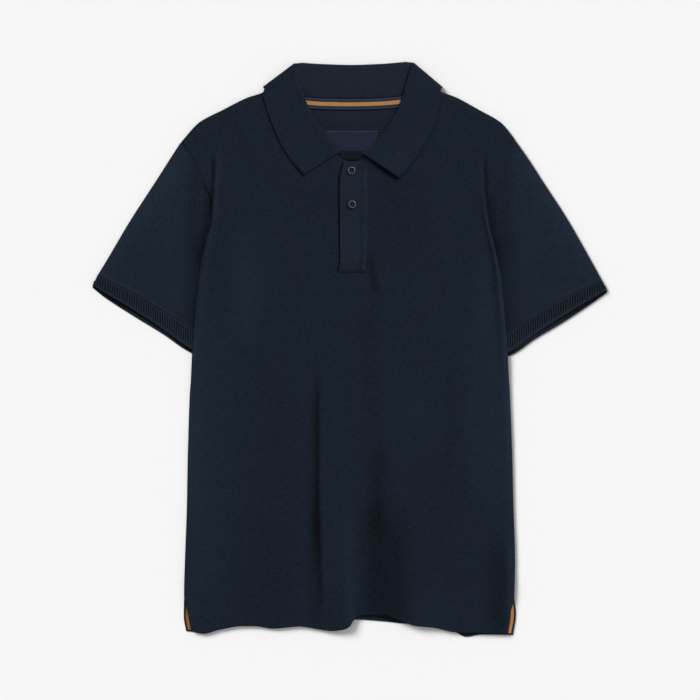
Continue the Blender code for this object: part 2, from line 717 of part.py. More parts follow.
def collar_sections():
    """Rows of the collar from the right front end, over both peaks, to the left front end.

    A row is its fold, leaf edge and neck seam in plan, the way out at a peak, how far it has
    turned from the front (0) to the back (180 degrees), and the lift of its leaf.
    """
    half_wall = WALL / 2
    neck = [Vector((row.x, row.y)) for row in FRONT_NECK]
    centre = Vector((2.6, 330.0))
    sections = []

    def front(rows, neck_points):
        path = Path([(r.fold_x, r.fold_y, r.leaf_x, r.leaf_y, r.lift) for r in rows])
        seam = Path([p + (centre - p).normalized() * NECK_SEAM for p in neck_points])
        for n in range(8):
            fold_x, fold_y, leaf_x, leaf_y, lift = path.at(n / 7)
            yield (Vector((fold_x, fold_y)), Vector((leaf_x, leaf_y)), seam.at(n / 7),
                   Vector((0.0, 0.0)), 0.0, lift)

    def peak(row, angles):
        fold = Vector((row.fold_x, row.fold_y))
        leaf = Vector((row.leaf_x, row.leaf_y))
        seam = Vector((row.neck_x, row.neck_y))
        along = (leaf - fold).normalized()
        away = Vector((-along.y, along.x))
        if away.y < 0:
            away = -away
        inset = away * (LEAF_RADIUS + half_wall)
        seam = fold + along * (seam - fold).dot(along)
        for angle in angles:  # past the turn the sections come back out, level with the fold
            shift = inset * (1.0 - PEAK_RETURN * smooth(90.0, 180.0, angle))
            yield fold - shift, leaf - shift, seam - shift, away, angle, 0.0

    half_turn = (0, 45, 90, 135, 180)
    right = list(front(RIGHT_COLLAR, list(reversed(neck[:6]))))
    left = list(front(LEFT_COLLAR, neck[-6:]))
    back_neck = Outline(RIGHT_SHOULDER[-1:] + BACK_NECK + LEFT_SHOULDER[:1])
    path = Path([(r.fold_x, r.fold_y, r.leaf_x, r.leaf_y) for r in BACK_COLLAR])
    sections += right
    sections += peak(RIGHT_PEAK[0], half_turn)
    for n in range(7):
        fold_x, fold_y, leaf_x, leaf_y = path.at(n / 6)
        seam = back_neck.at(blend(0.10, 0.90, n / 6)) + Vector((0.0, NECK_SEAM))
        sections.append((Vector((fold_x, fold_y)), Vector((leaf_x, leaf_y)), seam,
                         Vector((0.0, 0.0)), 180.0, 0.0))
    sections += peak(LEFT_PEAK[0], reversed(half_turn))
    sections += reversed(left)
    return sections


def add_collar():
    """The collar: a stand that rises from the neck seam, folds over and falls as the leaf.

    On the front the leaf lies above the stand; at each peak the two turn over together, so
    that behind the neck the leaf lies on the floor below the stand.
    """
    outer, inner = [], []
    for fold, leaf, seam, away, angle, lift in collar_sections():
        turn = math.radians(angle)
        stack = Vector((away.x * math.sin(turn), away.y * math.sin(turn), math.cos(turn)))
        front_share = max(math.cos(turn), 0.0)
        back_share = max(-math.cos(turn), 0.0)
        leaf_way = (leaf - fold).normalized()
        seam_way = (seam - fold).normalized()
        nose_way = (leaf_way + seam_way).normalized()

        def radii(distance):
            opening = FOLD_OPENING * math.exp(-((distance / FOLD_REACH) ** 2))
            return STAND_RADIUS - opening * back_share, LEAF_RADIUS + opening * front_share

        stand_radius, leaf_radius = radii(0.0)
        nose = (leaf_radius - stand_radius) / 2
        middle = (leaf_radius + stand_radius) / 2
        start = WALL / 2 + nose
        section = []  # plan place, radius from the axis, way across, angle of the outside
        stand_length = (seam - fold).length
        leaf_length = (leaf - fold).length
        for t in (1.0, 0.66, 0.33):
            distance = blend(start, stand_length, t)
            section.append((fold + seam_way * distance, radii(distance - start)[0], seam_way, -90, 0.0))
        for a in (-90, -40, 0, 40, 90):
            reach = start - nose * math.cos(math.radians(a))
            radius = middle + nose * math.sin(math.radians(a))
            section.append((fold + nose_way * reach, radius, nose_way, a, 0.0))
        for t in (0.16, 0.36, 0.58, 0.8, 1.0):
            distance = blend(start, leaf_length, t)
            section.append((fold + leaf_way * distance, radii(distance - start)[1], leaf_way, 90,
                            lift * t * (2.0 - t)))
        outer_row, inner_row = [], []
        for place, radius, way, a, raised in section:
            middle_point = Vector((place.x, place.y, COLLAR_AXIS)) + stack * radius
            middle_point.z += raised
            out = math.radians(a)
            normal = Vector((way.x, way.y, 0.0)) * -math.cos(out) + stack * math.sin(out)
            outer_row.append(tuple(middle_point + normal * (WALL / 2)))
            inner_row.append(tuple(middle_point - normal * (WALL / 2)))
        outer.append(outer_row)
        inner.append(inner_row)
    return wall("collar", outer, inner, SLEEVE_NAVY)


def add_collar_tab():
    """The end of the neck band that shows between the two leaves, just above the front's neck."""
    neck = Outline(FRONT_NECK)
    steps = [n / 10 for n in range(11)]
    under = []
    for row in TAB:
        under.append([(blend(row.right_x, row.left_x, t), row.y - row.dip * math.sin(math.pi * t), NECK_LEVEL)
                      for t in steps])
    under.append([(x, read(neck.x, neck.y, x) + TAB_GAP, NECK_LEVEL) for x, _, _ in under[-1]])
    return slab("collar_tab", under, WALL, TRIM_NAVY)


class Surface:
    """The top of an object that another piece lies on."""

    def __init__(self, made):
        self.tree = BVHTree.FromPolygons([v.co.copy() for v in made.data.vertices],
                                         [tuple(p.vertices) for p in made.data.polygons])

    def height(self, x, y):
        found = self.tree.ray_cast(Vector((x, y, 100.0)) * MILLIMETRE, Vector((0.0, 0.0, -1.0)))[0]
        return found.z / MILLIMETRE

    def over(self, rows, clearance):
        """The same grid of plan points, laid on the surface."""
        return [[(x, y, self.height(x, y) + clearance) for x, y in row] for row in rows]


def placket_plan(shows, shorter):
    """The placket's grid in plan, its free edge moved out by `shows`, its ends `shorter`."""
    keys = [-row.y for row in PLACKET]
    top, bottom = PLACKET[0].y - shorter, PLACKET[-1].y + 2 * shorter
    plan = []
    for n in range(15):
        y = blend(top, bottom, n / 14)
        free = read(keys, [row.free_x for row in PLACKET], -y) - shows * (1.0 - UNDER_PLACKET_TUCK * n / 14)
        seam = read(keys, [row.seam_x for row in PLACKET], -y) - (UNDER_PLACKET_INSET if shows else 0.0)
        plan.append([(blend(free, seam, t), y) for t in (0.0, 0.2, 0.5, 0.8, 1.0)])
    return plan


def add_plackets(front):
    """The under placket, whose edge shows, and the placket with the buttons over it."""
    surface = Surface(front)
    slab("placket_under", surface.over(placket_plan(UNDER_PLACKET_SHOWS, 1.5), SEAM), TRIM_WALL, TRIM_NAVY)
    return slab("placket", surface.over(placket_plan(0.0, 0.0), SEAM + TRIM_WALL + SEAM), WALL, NAVY)


def add_button(name, centre, surface):
    """A button with a raised rim and a dished middle."""
    x, y = centre
    radius = BUTTON_DIAMETER / 2
    foot = max(surface.height(x + radius * math.cos(a), y + radius * math.sin(a))
               for a in [math.radians(30 * n) for n in range(12)]) + SEAM
    profile = ((0.70, 0.0), (0.92, 0.18), (1.0, 0.55), (0.94, 0.88), (0.82, 1.0), (0.68, 0.94),
               (0.58, 0.62), (0.30, 0.55))
    segments = 24
    points = []
    for reach, height in profile:
        for n in range(segments):
            a = math.tau * n / segments
            points.append((x + radius * reach * math.cos(a), y + radius * reach * math.sin(a),
                           foot + BUTTON_THICKNESS * height))
    faces = [list(face) for face in grid_faces(len(profile), segments, 0, True, loop=True)]
    faces.append(list(reversed(range(segments))))
    faces.append([(len(profile) - 1) * segments + n for n in range(segments)])
    return add_object(name, points, faces, BUTTON_NAVY, roughness=0.3)


def add_neck_tape():
    """The tape that covers the back neck seam inside."""
    neck = Outline(RIGHT_SHOULDER[-1:] + BACK_NECK + LEFT_SHOULDER[:1])
    width = LEFT_SHOULDER[0].x - RIGHT_SHOULDER[-1].x
    columns = 15
    rows = [[], [], []]
    for n in range(columns):
        x = blend(*NECK_TAPE_ENDS, n / (columns - 1))
        here = neck.at((x - RIGHT_SHOULDER[-1].x) / width)
        ahead = neck.at((x + 2.0 - RIGHT_SHOULDER[-1].x) / width)
        along = (ahead - here).normalized()
        inward = Vector((along.y, -along.x))
        for row, distance in zip(rows, (-NECK_TAPE_OVER, NECK_TAPE_WIDTH / 2, NECK_TAPE_WIDTH)):
            place = here + inward * distance
            row.append((place.x, place.y, back_under(place.x, place.y) + LAYER))
    return slab("neck_tape", rows, TRIM_WALL, ORANGE)


def add_label(back):
    """The neck label, bare."""
    width, height = LABEL_SIZE
    middle, top = LABEL_TOP
    plan = [[(middle + width * (t - 0.5), top - height * s) for t in (0.0, 0.25, 0.5, 0.75, 1.0)]
            for s in (0.0, 0.25, 0.5, 1.0)]
    return slab("label", back.over(plan, SEAM), TRIM_WALL, TRIM_NAVY)


def add_vent_tape(side):
    """The tape inside the back's edge at a side vent."""
    edges = Sides([*ARMHOLE, *BACK_SIDES])
    edge = edges.right if side == "right" else edges.left
    inward = 1.0 if side == "right" else -1.0
    span = (ARMHOLE[0].right_y + ARMHOLE[0].left_y - BACK_SIDES[-1].right_y - BACK_SIDES[-1].left_y) / 2
    under = []
    for n in range(6):
        x, y = edge(1.0 - (2.0 + VENT_TAPE_LENGTH * (1 - n / 5)) / span)
        places = [x + inward * (VENT_TAPE_INSET + VENT_TAPE_WIDTH * t) for t in (0.0, 0.5, 1.0)]
        under.append([(place, y, LAYER) for place in sorted(places)])
    return slab("vent_tape_" + side, under, TRIM_WALL, ORANGE)


def main():
    for old in list(bpy.data.objects):
        bpy.data.objects.remove(old, do_unlink=True)
    back = Surface(add_back())
    front = add_front()
    for side in ("right", "left"):
        add_sleeve(side)
        add_cuff(side)
        add_vent_tape(side)
    add_collar()
    add_collar_tab()
    add_neck_tape()
    add_label(back)
    surface = Surface(add_plackets(front))
    for number, centre in enumerate(BUTTON_CENTRES, 1):
        add_button(f"button_{number}", centre, surface)


main()
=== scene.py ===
import json
import math

import bpy
import numpy as np
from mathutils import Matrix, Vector
from mathutils.bvhtree import BVHTree

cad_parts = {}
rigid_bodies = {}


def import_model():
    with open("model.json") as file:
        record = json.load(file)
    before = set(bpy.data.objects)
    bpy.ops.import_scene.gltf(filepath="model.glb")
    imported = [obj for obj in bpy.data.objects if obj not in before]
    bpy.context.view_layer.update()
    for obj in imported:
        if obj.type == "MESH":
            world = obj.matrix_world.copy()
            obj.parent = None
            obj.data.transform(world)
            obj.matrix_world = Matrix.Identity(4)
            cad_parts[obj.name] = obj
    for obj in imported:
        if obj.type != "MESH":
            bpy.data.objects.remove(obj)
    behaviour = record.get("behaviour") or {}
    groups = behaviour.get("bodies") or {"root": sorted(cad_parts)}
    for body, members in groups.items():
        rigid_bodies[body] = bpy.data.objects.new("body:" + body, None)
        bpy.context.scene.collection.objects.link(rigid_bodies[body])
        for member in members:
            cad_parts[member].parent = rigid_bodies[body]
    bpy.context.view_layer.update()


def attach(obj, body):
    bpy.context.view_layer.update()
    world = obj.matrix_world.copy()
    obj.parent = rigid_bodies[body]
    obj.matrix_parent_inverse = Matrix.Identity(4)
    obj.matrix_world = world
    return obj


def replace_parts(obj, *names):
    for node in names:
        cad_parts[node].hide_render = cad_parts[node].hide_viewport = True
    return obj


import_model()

# Lengths are millimetres until a mesh is made. +X is the wearer's left, +Y the collar, +Z up.
# "right" is the wearer's right. The floor is z = 0.
mm = 0.001
cloth = {"wall": 1.2, "trimWall": 1.0, "seam": 0.3, "armholeSeam": 0.5, "neckSeam": 0.8,
         "thread": 0.05, "tightThread": 0.02}  # how far above its cloth a stitch lies
layer = cloth["wall"] + cloth["seam"]


def table(names, *rows):  # columns by name
    return {name: np.array(values, float) for name, values in zip(names.split(), zip(*rows))}


def pointsOf(rows, names):  # columns of a table, side by side
    return np.column_stack([rows[name] for name in names.split()])


def unit(way):
    return way / np.linalg.norm(way, axis=-1, keepdims=True)


def bell(distance, width, power=2):  # 1 at 0, falling off smoothly
    return np.exp(-((distance / width) ** power))


def ovalReach(x, y, oval):  # 1 on an oval, which is its centre and its half sizes
    centreX, centreY, halfX, halfY = oval
    return np.hypot((x - centreX) / halfX, (y - centreY) / halfY)


def smooth(low, high, value):
    t = np.clip((value - low) / (high - low), 0.0, 1.0)
    return t * t * (3.0 - 2.0 * t)


def rounding(distance, radius):  # a quarter circle: 0 at an edge, 1 from radius inwards
    t = np.clip(distance / radius, 0.0, 1.0)
    return np.sqrt(1.0 - (1.0 - t) ** 2)


def blend(a, b, t):
    return a + (b - a) * t


def read(keys, values, at):  # the smooth curve through keys and values, without overshoot
    keys, values = np.asarray(keys, float), np.asarray(values, float)
    at = np.clip(at, keys[0], keys[-1])
    steps = np.diff(keys)
    slopes = np.diff(values) / steps
    total = slopes[:-1] + slopes[1:]
    product = slopes[:-1] * slopes[1:]
    inner = np.where(product > 0, 2 * product / np.where(total == 0, 1, total), 0)
    tangents = np.concatenate([slopes[:1], inner, slopes[-1:]])
    i = np.clip(np.searchsorted(keys, at) - 1, 0, len(keys) - 2)
    t = (at - keys[i]) / steps[i]
    return (values[i] * (2 * t**3 - 3 * t**2 + 1) + tangents[i] * steps[i] * (t**3 - 2 * t**2 + t)
            + values[i + 1] * (3 * t**2 - 2 * t**3) + tangents[i + 1] * steps[i] * (t**3 - t**2))


def ripple(x, y, seed, size, stretch=1.0):  # uneven soft waves about `size` long
    draw = np.random.default_rng(seed)
    total = np.zeros_like(x)
    for _ in range(10):
        angle = draw.uniform(0, math.tau)
        wave, phase = size * draw.uniform(0.6, 1.7), draw.uniform(0, math.tau)
        total += np.sin((x * math.cos(angle) + y * math.sin(angle) / stretch) * math.tau / wave + phase)
    return total / 3


class Track:  # a curve through points, read from 0 at its first to 1 at its last
    def __init__(self, points):
        self.points = np.array(points, float)
        steps = np.linalg.norm(np.diff(self.points, axis=0), axis=1)
        self.keys = np.concatenate([[0.0], np.cumsum(steps)])
        self.length = self.keys[-1]

    def at(self, fraction):
        where = np.asarray(fraction, float) * self.length
        return np.stack([read(self.keys, column, where) for column in self.points.T], axis=-1)


class Outline:  # a height over x, such as a hem
    def __init__(self, *tables):
        self.x = np.concatenate([t["x"] for t in tables])
        self.y = np.concatenate([t["y"] for t in tables])

    def at(self, fraction):
        x = blend(self.x[0], self.x[-1], np.asarray(fraction, float))
        return np.stack([x, read(self.x, self.y, x)], axis=-1)

    def height(self, x):
        return read(self.x, self.y, x)


class Sides:  # both side edges of a panel, read by how far down they are
    def __init__(self, *tables):
        names = [name for name in tables[0] if all(name in t for t in tables)]
        self.rows = {name: np.concatenate([t[name] for t in tables]) for name in names}
        middle = (self.rows["rightY"] + self.rows["leftY"]) / 2
        self.keys = (middle[0] - middle) / (middle[0] - middle[-1])
        self.right, self.left = self.edge("right"), self.edge("left")

    def value(self, column, down):
        return read(self.keys, self.rows[column], down)

    def edge(self, side):
        return lambda down: np.stack([self.value(side + "X", down), self.value(side + "Y", down)], axis=-1)


def patch(top, bottom, right, left, across, down):  # plan points between four edges, down by across
    a, d = np.atleast_1d(across)[None, :, None], np.atleast_1d(down)[:, None, None]
    rows = top(a[0, :, 0])[None] * (1 - d) + bottom(a[0, :, 0])[None] * d
    columns = right(d[:, 0, 0])[:, None] * (1 - a) + left(d[:, 0, 0])[:, None] * a
    upper = top(0.0) * (1 - a) + top(1.0) * a
    lower = bottom(0.0) * (1 - a) + bottom(1.0) * a
    return rows + columns - (upper * (1 - d) + lower * d)


def lines(length, step, near=(0.5, 1.3, 2.4, 4.0, 6.0, 8.5)):  # fractions of a grid, finer at both ends
    found = set(np.round(np.linspace(0, 1, round(length / step) + 1), 6))
    for distance in near:
        found |= {round(distance / length, 6), round(1 - distance / length, 6)}
    return np.array(sorted(found))


# The garment's lines; a row is one place along them.
frontSides = table("rightX rightY leftX leftY edge roll",
    (-221.4, 272.7, 220.1, 270, 1.5, 0), (-211.6, 258.2, 211.6, 254.3, 3, 0),
    (-201, 240.5, 200.4, 234.5, 3.5, 0.3), (-191.3, 218.8, 190.8, 212.2, 3.6, 0.8),
    (-183, 196.4, 181.4, 191.2, 3.7, 1.6), (-182.9, 170.2, 182.2, 167.5, 3.7, 2.4),
    (-190.2, 139.9, 188.4, 139.9, 3.7, 2.8), (-199.3, 91.3, 198.4, 91.3, 3.8, 2.6),
    (-204.3, 41.4, 203.2, 41.4, 4.1, 2.2), (-207.2, -3.3, 206.7, -3.3, 4.1, 1.6),
    (-210.2, -66.4, 210.2, -66.4, 1.6, 0.8), (-212.9, -132.1, 212.9, -132.1, 1.5, 0.6),
    (-214.4, -210.9, 214.8, -210.9, 1.5, 0.5), (-216.8, -276.6, 216.8, -276.6, 1.6, 0.4),
    (-217.9, -321.3, 215.8, -321.3, 2.8, 0.2), (-215.8, -334.4, 213.9, -334.4, 2.8, 0),
    (-212.2, -347.6, 210.2, -347.6, 2.9, 0), (-207.8, -370.5, 206.3, -373.8, 2.9, 0))
armhole = table("rightX rightY leftX leftY",
    (-221.4, 272.7, 220.1, 270), (-211.6, 258.2, 211.6, 254.3), (-201, 240.5, 200.4, 234.5),
    (-191.3, 218.8, 190.8, 212.2), (-182.3, 196.4, 180.7, 191.2), (-180, 163.6, 179.4, 159.7),
    (-180.7, 130.7, 180, 128.1), (-186.6, 84.8, 186.6, 83.4), (-192.5, 51.9, 192.5, 49.3))
backSides = table("rightX rightY leftX leftY",
    (-193.2, 19, 193.2, 17.7), (-194.5, -6, 194.5, -8.5), (-202.4, -21.7, 202.4, -24.3),
    (-209.6, -46.6, 209.6, -46.6), (-210.9, -66.4, 210.4, -66.4), (-212.9, -132.1, 212.9, -132.1),
    (-214.4, -210.9, 214.8, -210.9), (-216.8, -276.6, 216.8, -276.6), (-217.9, -321.3, 215.8, -321.3),
    (-218.4, -350, 217.8, -348), (-215.3, -369.9, 213.9, -375.1))
rightShoulder = table("x y",
    (-221.4, 272.7), (-212.9, 282.8), (-205.6, 291.1), (-197.1, 298.9), (-166.9, 314.7), (-135.3, 330.5),
    (-114.8, 337.3), (-97.9, 349.5))
leftShoulder = table("x y",
    (103, 352), (119.6, 338.6), (140.6, 330.5), (169.5, 314.7), (197.1, 298.9), (206.3, 289.3),
    (213.5, 279.8), (220.1, 270))
frontNeck = table("x y",
    (-93.9, 333.1), (-85.4, 314.7), (-72.3, 292.4), (-55.2, 271.4), (-36.8, 259.5), (-17.1, 256.2),
    (-12, 251.8), (-7, 248.6), (2.6, 247), (13, 248.4), (19.1, 254.6), (40.7, 258.5), (55.2, 268.7),
    (71, 288.4), (86.1, 310.8), (96.5, 333))
backNeck = table("x y",
    (-85, 337.2), (-64, 331.6), (-35, 328.9), (2, 328.3), (38, 329.2), (68, 332.1), (90, 338.2))
frontHem = table("x y",
    (-207.8, -370.5), (-191.8, -373.2), (-172.1, -368.2), (-140.6, -363.2), (-126.1, -363.2),
    (-100.4, -366.5), (-65.7, -363.7), (-42, -367.3), (-25, -369.5), (-11.8, -368.2), (-1.3, -364.5),
    (5.9, -354.1), (14.5, -348.7), (46, -348.5), (64.4, -355.4), (85.4, -362.4), (113, -365.6),
    (135.3, -370.8), (161.6, -372.1), (206.3, -373.8))
backHem = table("x y",
    (-215.3, -369.9), (-191.8, -371.9), (-140.6, -360.7), (-65.7, -360.7), (9.2, -354.9), (44.7, -357.1),
    (71, -360.2), (118.3, -364), (138, -370.8), (151.5, -377.4), (173.4, -374.5), (213.9, -375.1))
sleeveEdge = table("rightX rightY leftX leftY",
    (-237.4, 248.8, 234.8, 249.5), (-254.2, 222.4, 251.9, 223.1), (-288.3, 169.9, 285.9, 170.6),
    (-319.4, 117.4, 316, 117.9), (-331.7, 97.2, 331.1, 90.5))
cuffSeam = table("rightX rightY leftX leftY",
    (-331.7, 97.2, 331.1, 90.5), (-308.8, 86.7, 305.4, 79.6), (-285.5, 74.9, 281.2, 68.1),
    (-259.8, 59.5, 265.4, 59), (-230.3, 42, 233.9, 38.9), (-197.8, 21.7, 198.4, 15.8))
cuffEdge = table("rightX rightY leftX leftY short shade",
    (-338.3, 81.2, 337.6, 74.8, 3.2, 2.2), (-323.7, 69.4, 321, 62.9, 5.9, 5.2),
    (-284.3, 43.8, 281.6, 36.7, 7.9, 4.4), (-244.9, 19.5, 242.2, 13, 6.4, 2.4),
    (-218.6, 1.1, 215.9, -5.4, 5.3, 3.2), (-200, -9.3, 200.4, -12.3, 4.5, 4.5))
rightCollar = table("foldX foldY leafX leafY lift",
    (-13.7, 258.9, -60.6, 229.3, 0.8), (-21, 268.5, -70.3, 239.8, 0.4), (-35.7, 288.7, -86.1, 260.8, 0.1),
    (-50.5, 310.8, -98.6, 285.8, 0), (-59.7, 331, -108.4, 312.1, 0), (-67, 352.8, -115.2, 334.4, 0))
leftCollar = table("foldX foldY leafX leafY lift",
    (15.8, 257.4, 64.1, 225.2, 3.2), (26.8, 264.8, 74.9, 235.9, 1.7), (37.8, 277.7, 90.7, 259.5, 0.6),
    (52.6, 297.9, 105.9, 283.2, 0.1), (66.4, 325.5, 113.7, 304.2, 0), (74.6, 354.9, 118.9, 327.8, 0))
collarRows = {"right": rightCollar, "left": leftCollar}
backCollar = table("foldX foldY leafX leafY",
    (-63, 376.6, -102, 335), (-38, 375, -66, 320), (2, 373.8, 4, 309.5), (42, 375.2, 76, 319),
    (73, 377.8, 110, 336))
placketEdges = table("y freeX seamX",
    (246.6, -7.6, 14), (244, -8.6, 21.5), (238.5, -9.9, 23.3), (226.7, -12.6, 23.3), (209.6, -13.4, 23.3),
    (190, -13.4, 23.3), (165, -13.2, 23.2), (140, -13.1, 22.9), (118, -13.1, 22), (101.2, -15, 21))

# Folds run down from topY to bottomY; their section is a soft bell with its own width on each side.
folds = table("topY bottomY topX midX bottomX topRise bottomRise rightWidth leftWidth",
    (-32, -310, -39.6, -40.4, -35, 1.2, 3, 4.6, 22),
    (-150, -376, -16, -9, -4, 0.2, 4.4, 24, 10),
    (-120, -376, 43, 58, 72, 0.5, 5, 28, 46),
    (104, -130, 38.5, 36, 44, 0.9, 0.6, 10, 26),
    (4, -172, 151, 152, 150, 0.9, 1.2, 22, 16),
    (-215, -352, -150, -162, -174, -0.8, -1.1, 22, 26),
    (-240, -350, 203, 203.5, 202, 0.8, 1.9, 14, 7),
    (210, 60, -105, -110, -112, 0.3, 0.7, 45, 40),
    (205, 60, 112, 116, 118, 0.3, 0.6, 40, 45))
# Lines run down through three places; `right` and `left` are how far they reach on either side.
creaseColumns = "x0 y0 x1 y1 x2 y2 change right left"
frontCreases = table(creaseColumns,
    (-39.8, -24, -40.8, -130, -39.4, -236, 1.1, 2.6, 6),
    (-38.5, -205, -34, -280, -36.5, -356, 0.9, 3.4, 7),
    (-175.2, 266, -177.6, 212, -184.6, 150, 1.3, 2.2, 8),
    (174.2, 262, 176.4, 208, 183.4, 146, 1.3, 8, 2.2),
    (24.5, 134, 31.5, 102, 40, 66, 0.75, 3, 9),
    (-20.5, 122, -19, 96, -20, 62, -0.35, 3, 2),
    (11, -235, 9, -290, 6.5, -352, 0.9, 8, 3),
    (37, -250, 52, -311, 60, -360, 0.7, 4, 9),
    (60, -205, 67, -262, 73, -330, 0.5, 8, 14),
    (205, -243, 206, -290, 206, -330, 0.5, 4, 3),
    (-150, 210, -146, 150, -150, 80, -0.45, 13, 13),
    (158, 205, 150, 140, 156, 70, -0.45, 13, 13),
    (-176, 20, -160, -60, -168, -150, 0.5, 14, 16),
    (-78, 60, -84, -30, -78, -120, 0.45, 17, 17),
    (84, 90, 96, 0, 90, -90, 0.45, 18, 20),
    (151, -4, 152.5, -90, 150.5, -170, 0.4, 7, 4),
    (104, -150, 108, -240, 116, -330, 0.5, 17, 17),
    (-74, -170, -78, -250, -70, -344, 0.5, 14, 16),
    (-152, -222, -163, -280, -176, -345, -0.45, 5, 8))
# Painted shading: colour darkened in folds, creases and broad hollows where shade falls, lightened along
# edges where light catches them, and darkened where a layer casts shade. A higher power is flatter in the
# middle and ends more sharply.
frontPaintedShading = table(creaseColumns + " power",
    (-39.2, -12, -41.6, -120, -40.8, -310, -0.67, 9, 2.6, 2),
    (-42.5, -166, -42.5, -280, -43, -400, -0.36, 11.5, 5.5, 3),
    (38, -104, 35, -178, 33, -260, -0.46, 12, 14, 2),
    (41, -178, 45.5, -290, 47.5, -410, -0.52, 31, 33, 4),
    (37, -235, 37, -290, 46, -356, -0.12, 5, 6, 2),
    (27, 140, 31, 102, 37, 62, -0.16, 4.5, 4.5, 2),
    (34, 92, 27, 0, 32, -130, -0.14, 10, 10, 2),
    (-188, 130, -192, -100, -192, -400, 0.2, 36, 36, 2),
    (188, 120, 186, -60, 188, -250, 0.22, 34, 34, 2),
    (-209, 70, -213, -70, -215, -230, 0.34, 9, 9, 2),
    (-212, -150, -216, -280, -216, -420, 0.16, 10, 10, 2),
    (205, 60, 211, -90, 214, -240, 0.24, 9, 9, 2),
    (-118, -190, -114, -290, -118, -420, -0.16, 42, 40, 2),
    (192, -234, 192, -310, 194, -392, -0.38, 14, 9, 3),
    (211, -225, 212, -290, 212, -380, 0.3, 5, 6, 2),
    (62, 260, 58, 180, 60, 80, -0.16, 30, 34, 2),
    (-92, 10, -92, -160, -90, -400, -0.1, 40, 34, 2),
    (90, -14, 92, -90, 92, -160, 0.09, 22, 20, 2),
    (130, -4, 132, -90, 130, -172, -0.1, 9, 7, 2),
    (-28, -200, -26, -290, -26, -390, -0.07, 9, 10, 2),
    (3, -190, 4, -300, 4, -400, 0.16, 9, 5, 2),
    (-132, 140, -130, 70, -128, 0, 0.12, 26, 24, 2),
    (-176.6, 268, -179.3, 214, -185.2, 156, -1.05, 3.4, 1.3, 2),
    (175.6, 264, 178.2, 210, 184, 152, -1.05, 1.3, 3.4, 2),
    (-173.8, 272, -176.2, 205, -190, 122, 0.36, 2.4, 5, 2),
    (-180, 196, -198.6, 90, -206.6, -50, 0.36, 3, 4.5, 2),
    (172.8, 268, 175, 202, 188, 120, 0.34, 5, 2.4, 2),
    (179, 192, 197.4, 90, 206, -50, 0.28, 4.5, 3, 2),
    (-206, 62, -211, -90, -214, -250, 0.52, 5, 6, 2),
    (-198, 0, -200, -125, -202, -250, 0.18, 8, 8, 2),
    (205, 30, 207, -110, 208, -250, 0.22, 7, 6, 2),
    (203, -262, 203, -318, 203, -378, -0.26, 7, 7, 2),
    (172, 140, 176, 70, 178, 0, 0.2, 10, 8, 2),
    (-139, 190, -139, 90, -139, -10, 0.19, 16, 16, 2),
    (25.5, 134, 29.5, 97, 36, 58, -0.34, 5, 5, 2),
    (18.4, 72, 18.4, -10, 18.4, -92, -0.1, 7, 7, 2),
    (108, -90, 108, -224, 108, -360, -0.11, 40, 40, 3))
sleeveCreases = {
    "right": table(creaseColumns,
        (-233, 153, -222, 144, -208, 133, -0.65, 2.6, 2.6),
        (-262, 178, -268, 130, -286, 92, 0.55, 14, 14),
        (-214, 226, -220, 190, -214, 150, -0.5, 10, 10)),
    "left": table(creaseColumns,
        (228, 150, 219, 141, 207, 129, -0.65, 2.6, 2.6),
        (258, 174, 262, 126, 282, 86, 0.55, 14, 14),
        (212, 222, 217, 186, 212, 146, -0.5, 10, 10))}
# Painted shading on the sleeves: darker beside the body's edge where it shades them, lighter towards their
# outer edges where light catches them.
sleevePaintedShading = {
    "right": table(creaseColumns,
        (-181, 240, -186, 165, -197, 92, -0.66, 9, 9),
        (-188, 180, -201, 72, -213, -50, -0.52, 15, 12),
        (-212, 284, -276, 190, -346, 76, 0.38, 17, 17),
        (-320, 150, -262, 108, -228, 84, -0.08, 20, 20),
        (-200, 290, -204, 190, -214, 96, -0.26, 11, 11),
        (-214, 262, -240, 212, -262, 150, 0.14, 12, 18)),
    "left": table(creaseColumns,
        (180, 236, 184.5, 162, 195, 92, -0.66, 9, 9),
        (186, 178, 199.5, 70, 212, -54, -0.5, 12, 15),
        (211, 284, 274, 190, 344, 72, 0.36, 17, 17),
        (316, 144, 262, 104, 228, 80, -0.08, 20, 20),
        (200, 288, 203, 188, 213, 94, -0.28, 11, 11))}

backNeckLine = Outline({k: np.concatenate([rightShoulder[k][-1:], backNeck[k], leftShoulder[k][:1]])
                        for k in "xy"})


def alongPath(x, y, knots, right, left, power=2.0):  # 1 on a line, falling off on both sides of it
    nearest, place, width = np.full(x.shape, 1e9), np.zeros_like(x), np.ones_like(x)
    for k, (a, b) in enumerate(zip(knots, knots[1:])):
        step = b - a
        t = np.clip(((x - a[0]) * step[0] + (y - a[1]) * step[1]) / (step @ step), 0, 1)
        distance = np.hypot(x - a[0] - t * step[0], y - a[1] - t * step[1])
        onLeft = step[0] * (y - a[1]) > step[1] * (x - a[0])
        closer = distance < nearest
        width = np.where(closer, np.where(onLeft, left, right), width)
        place = np.where(closer, (k + t) / (len(knots) - 1), place)
        nearest = np.minimum(nearest, distance)
    return bell(nearest, width, power), place


def alongCreases(x, y, rows):  # what the lines of a table add at each place
    total = np.zeros_like(x)
    powers = rows.get("power", np.full(len(rows["change"]), 2.0))
    for i, change in enumerate(rows["change"]):
        knots = Track([(rows[f"x{k}"][i], rows[f"y{k}"][i]) for k in range(3)]).at(np.linspace(0, 1, 9))
        share, place = alongPath(x, y, knots, rows["right"][i], rows["left"][i], powers[i])
        total += change * share * smooth(0.0, 0.3, place) * (1 - smooth(0.7, 1.0, place))
    return total


def addObject(name, data):
    made = bpy.data.objects.new(name, data)
    bpy.context.scene.collection.objects.link(made)
    return made


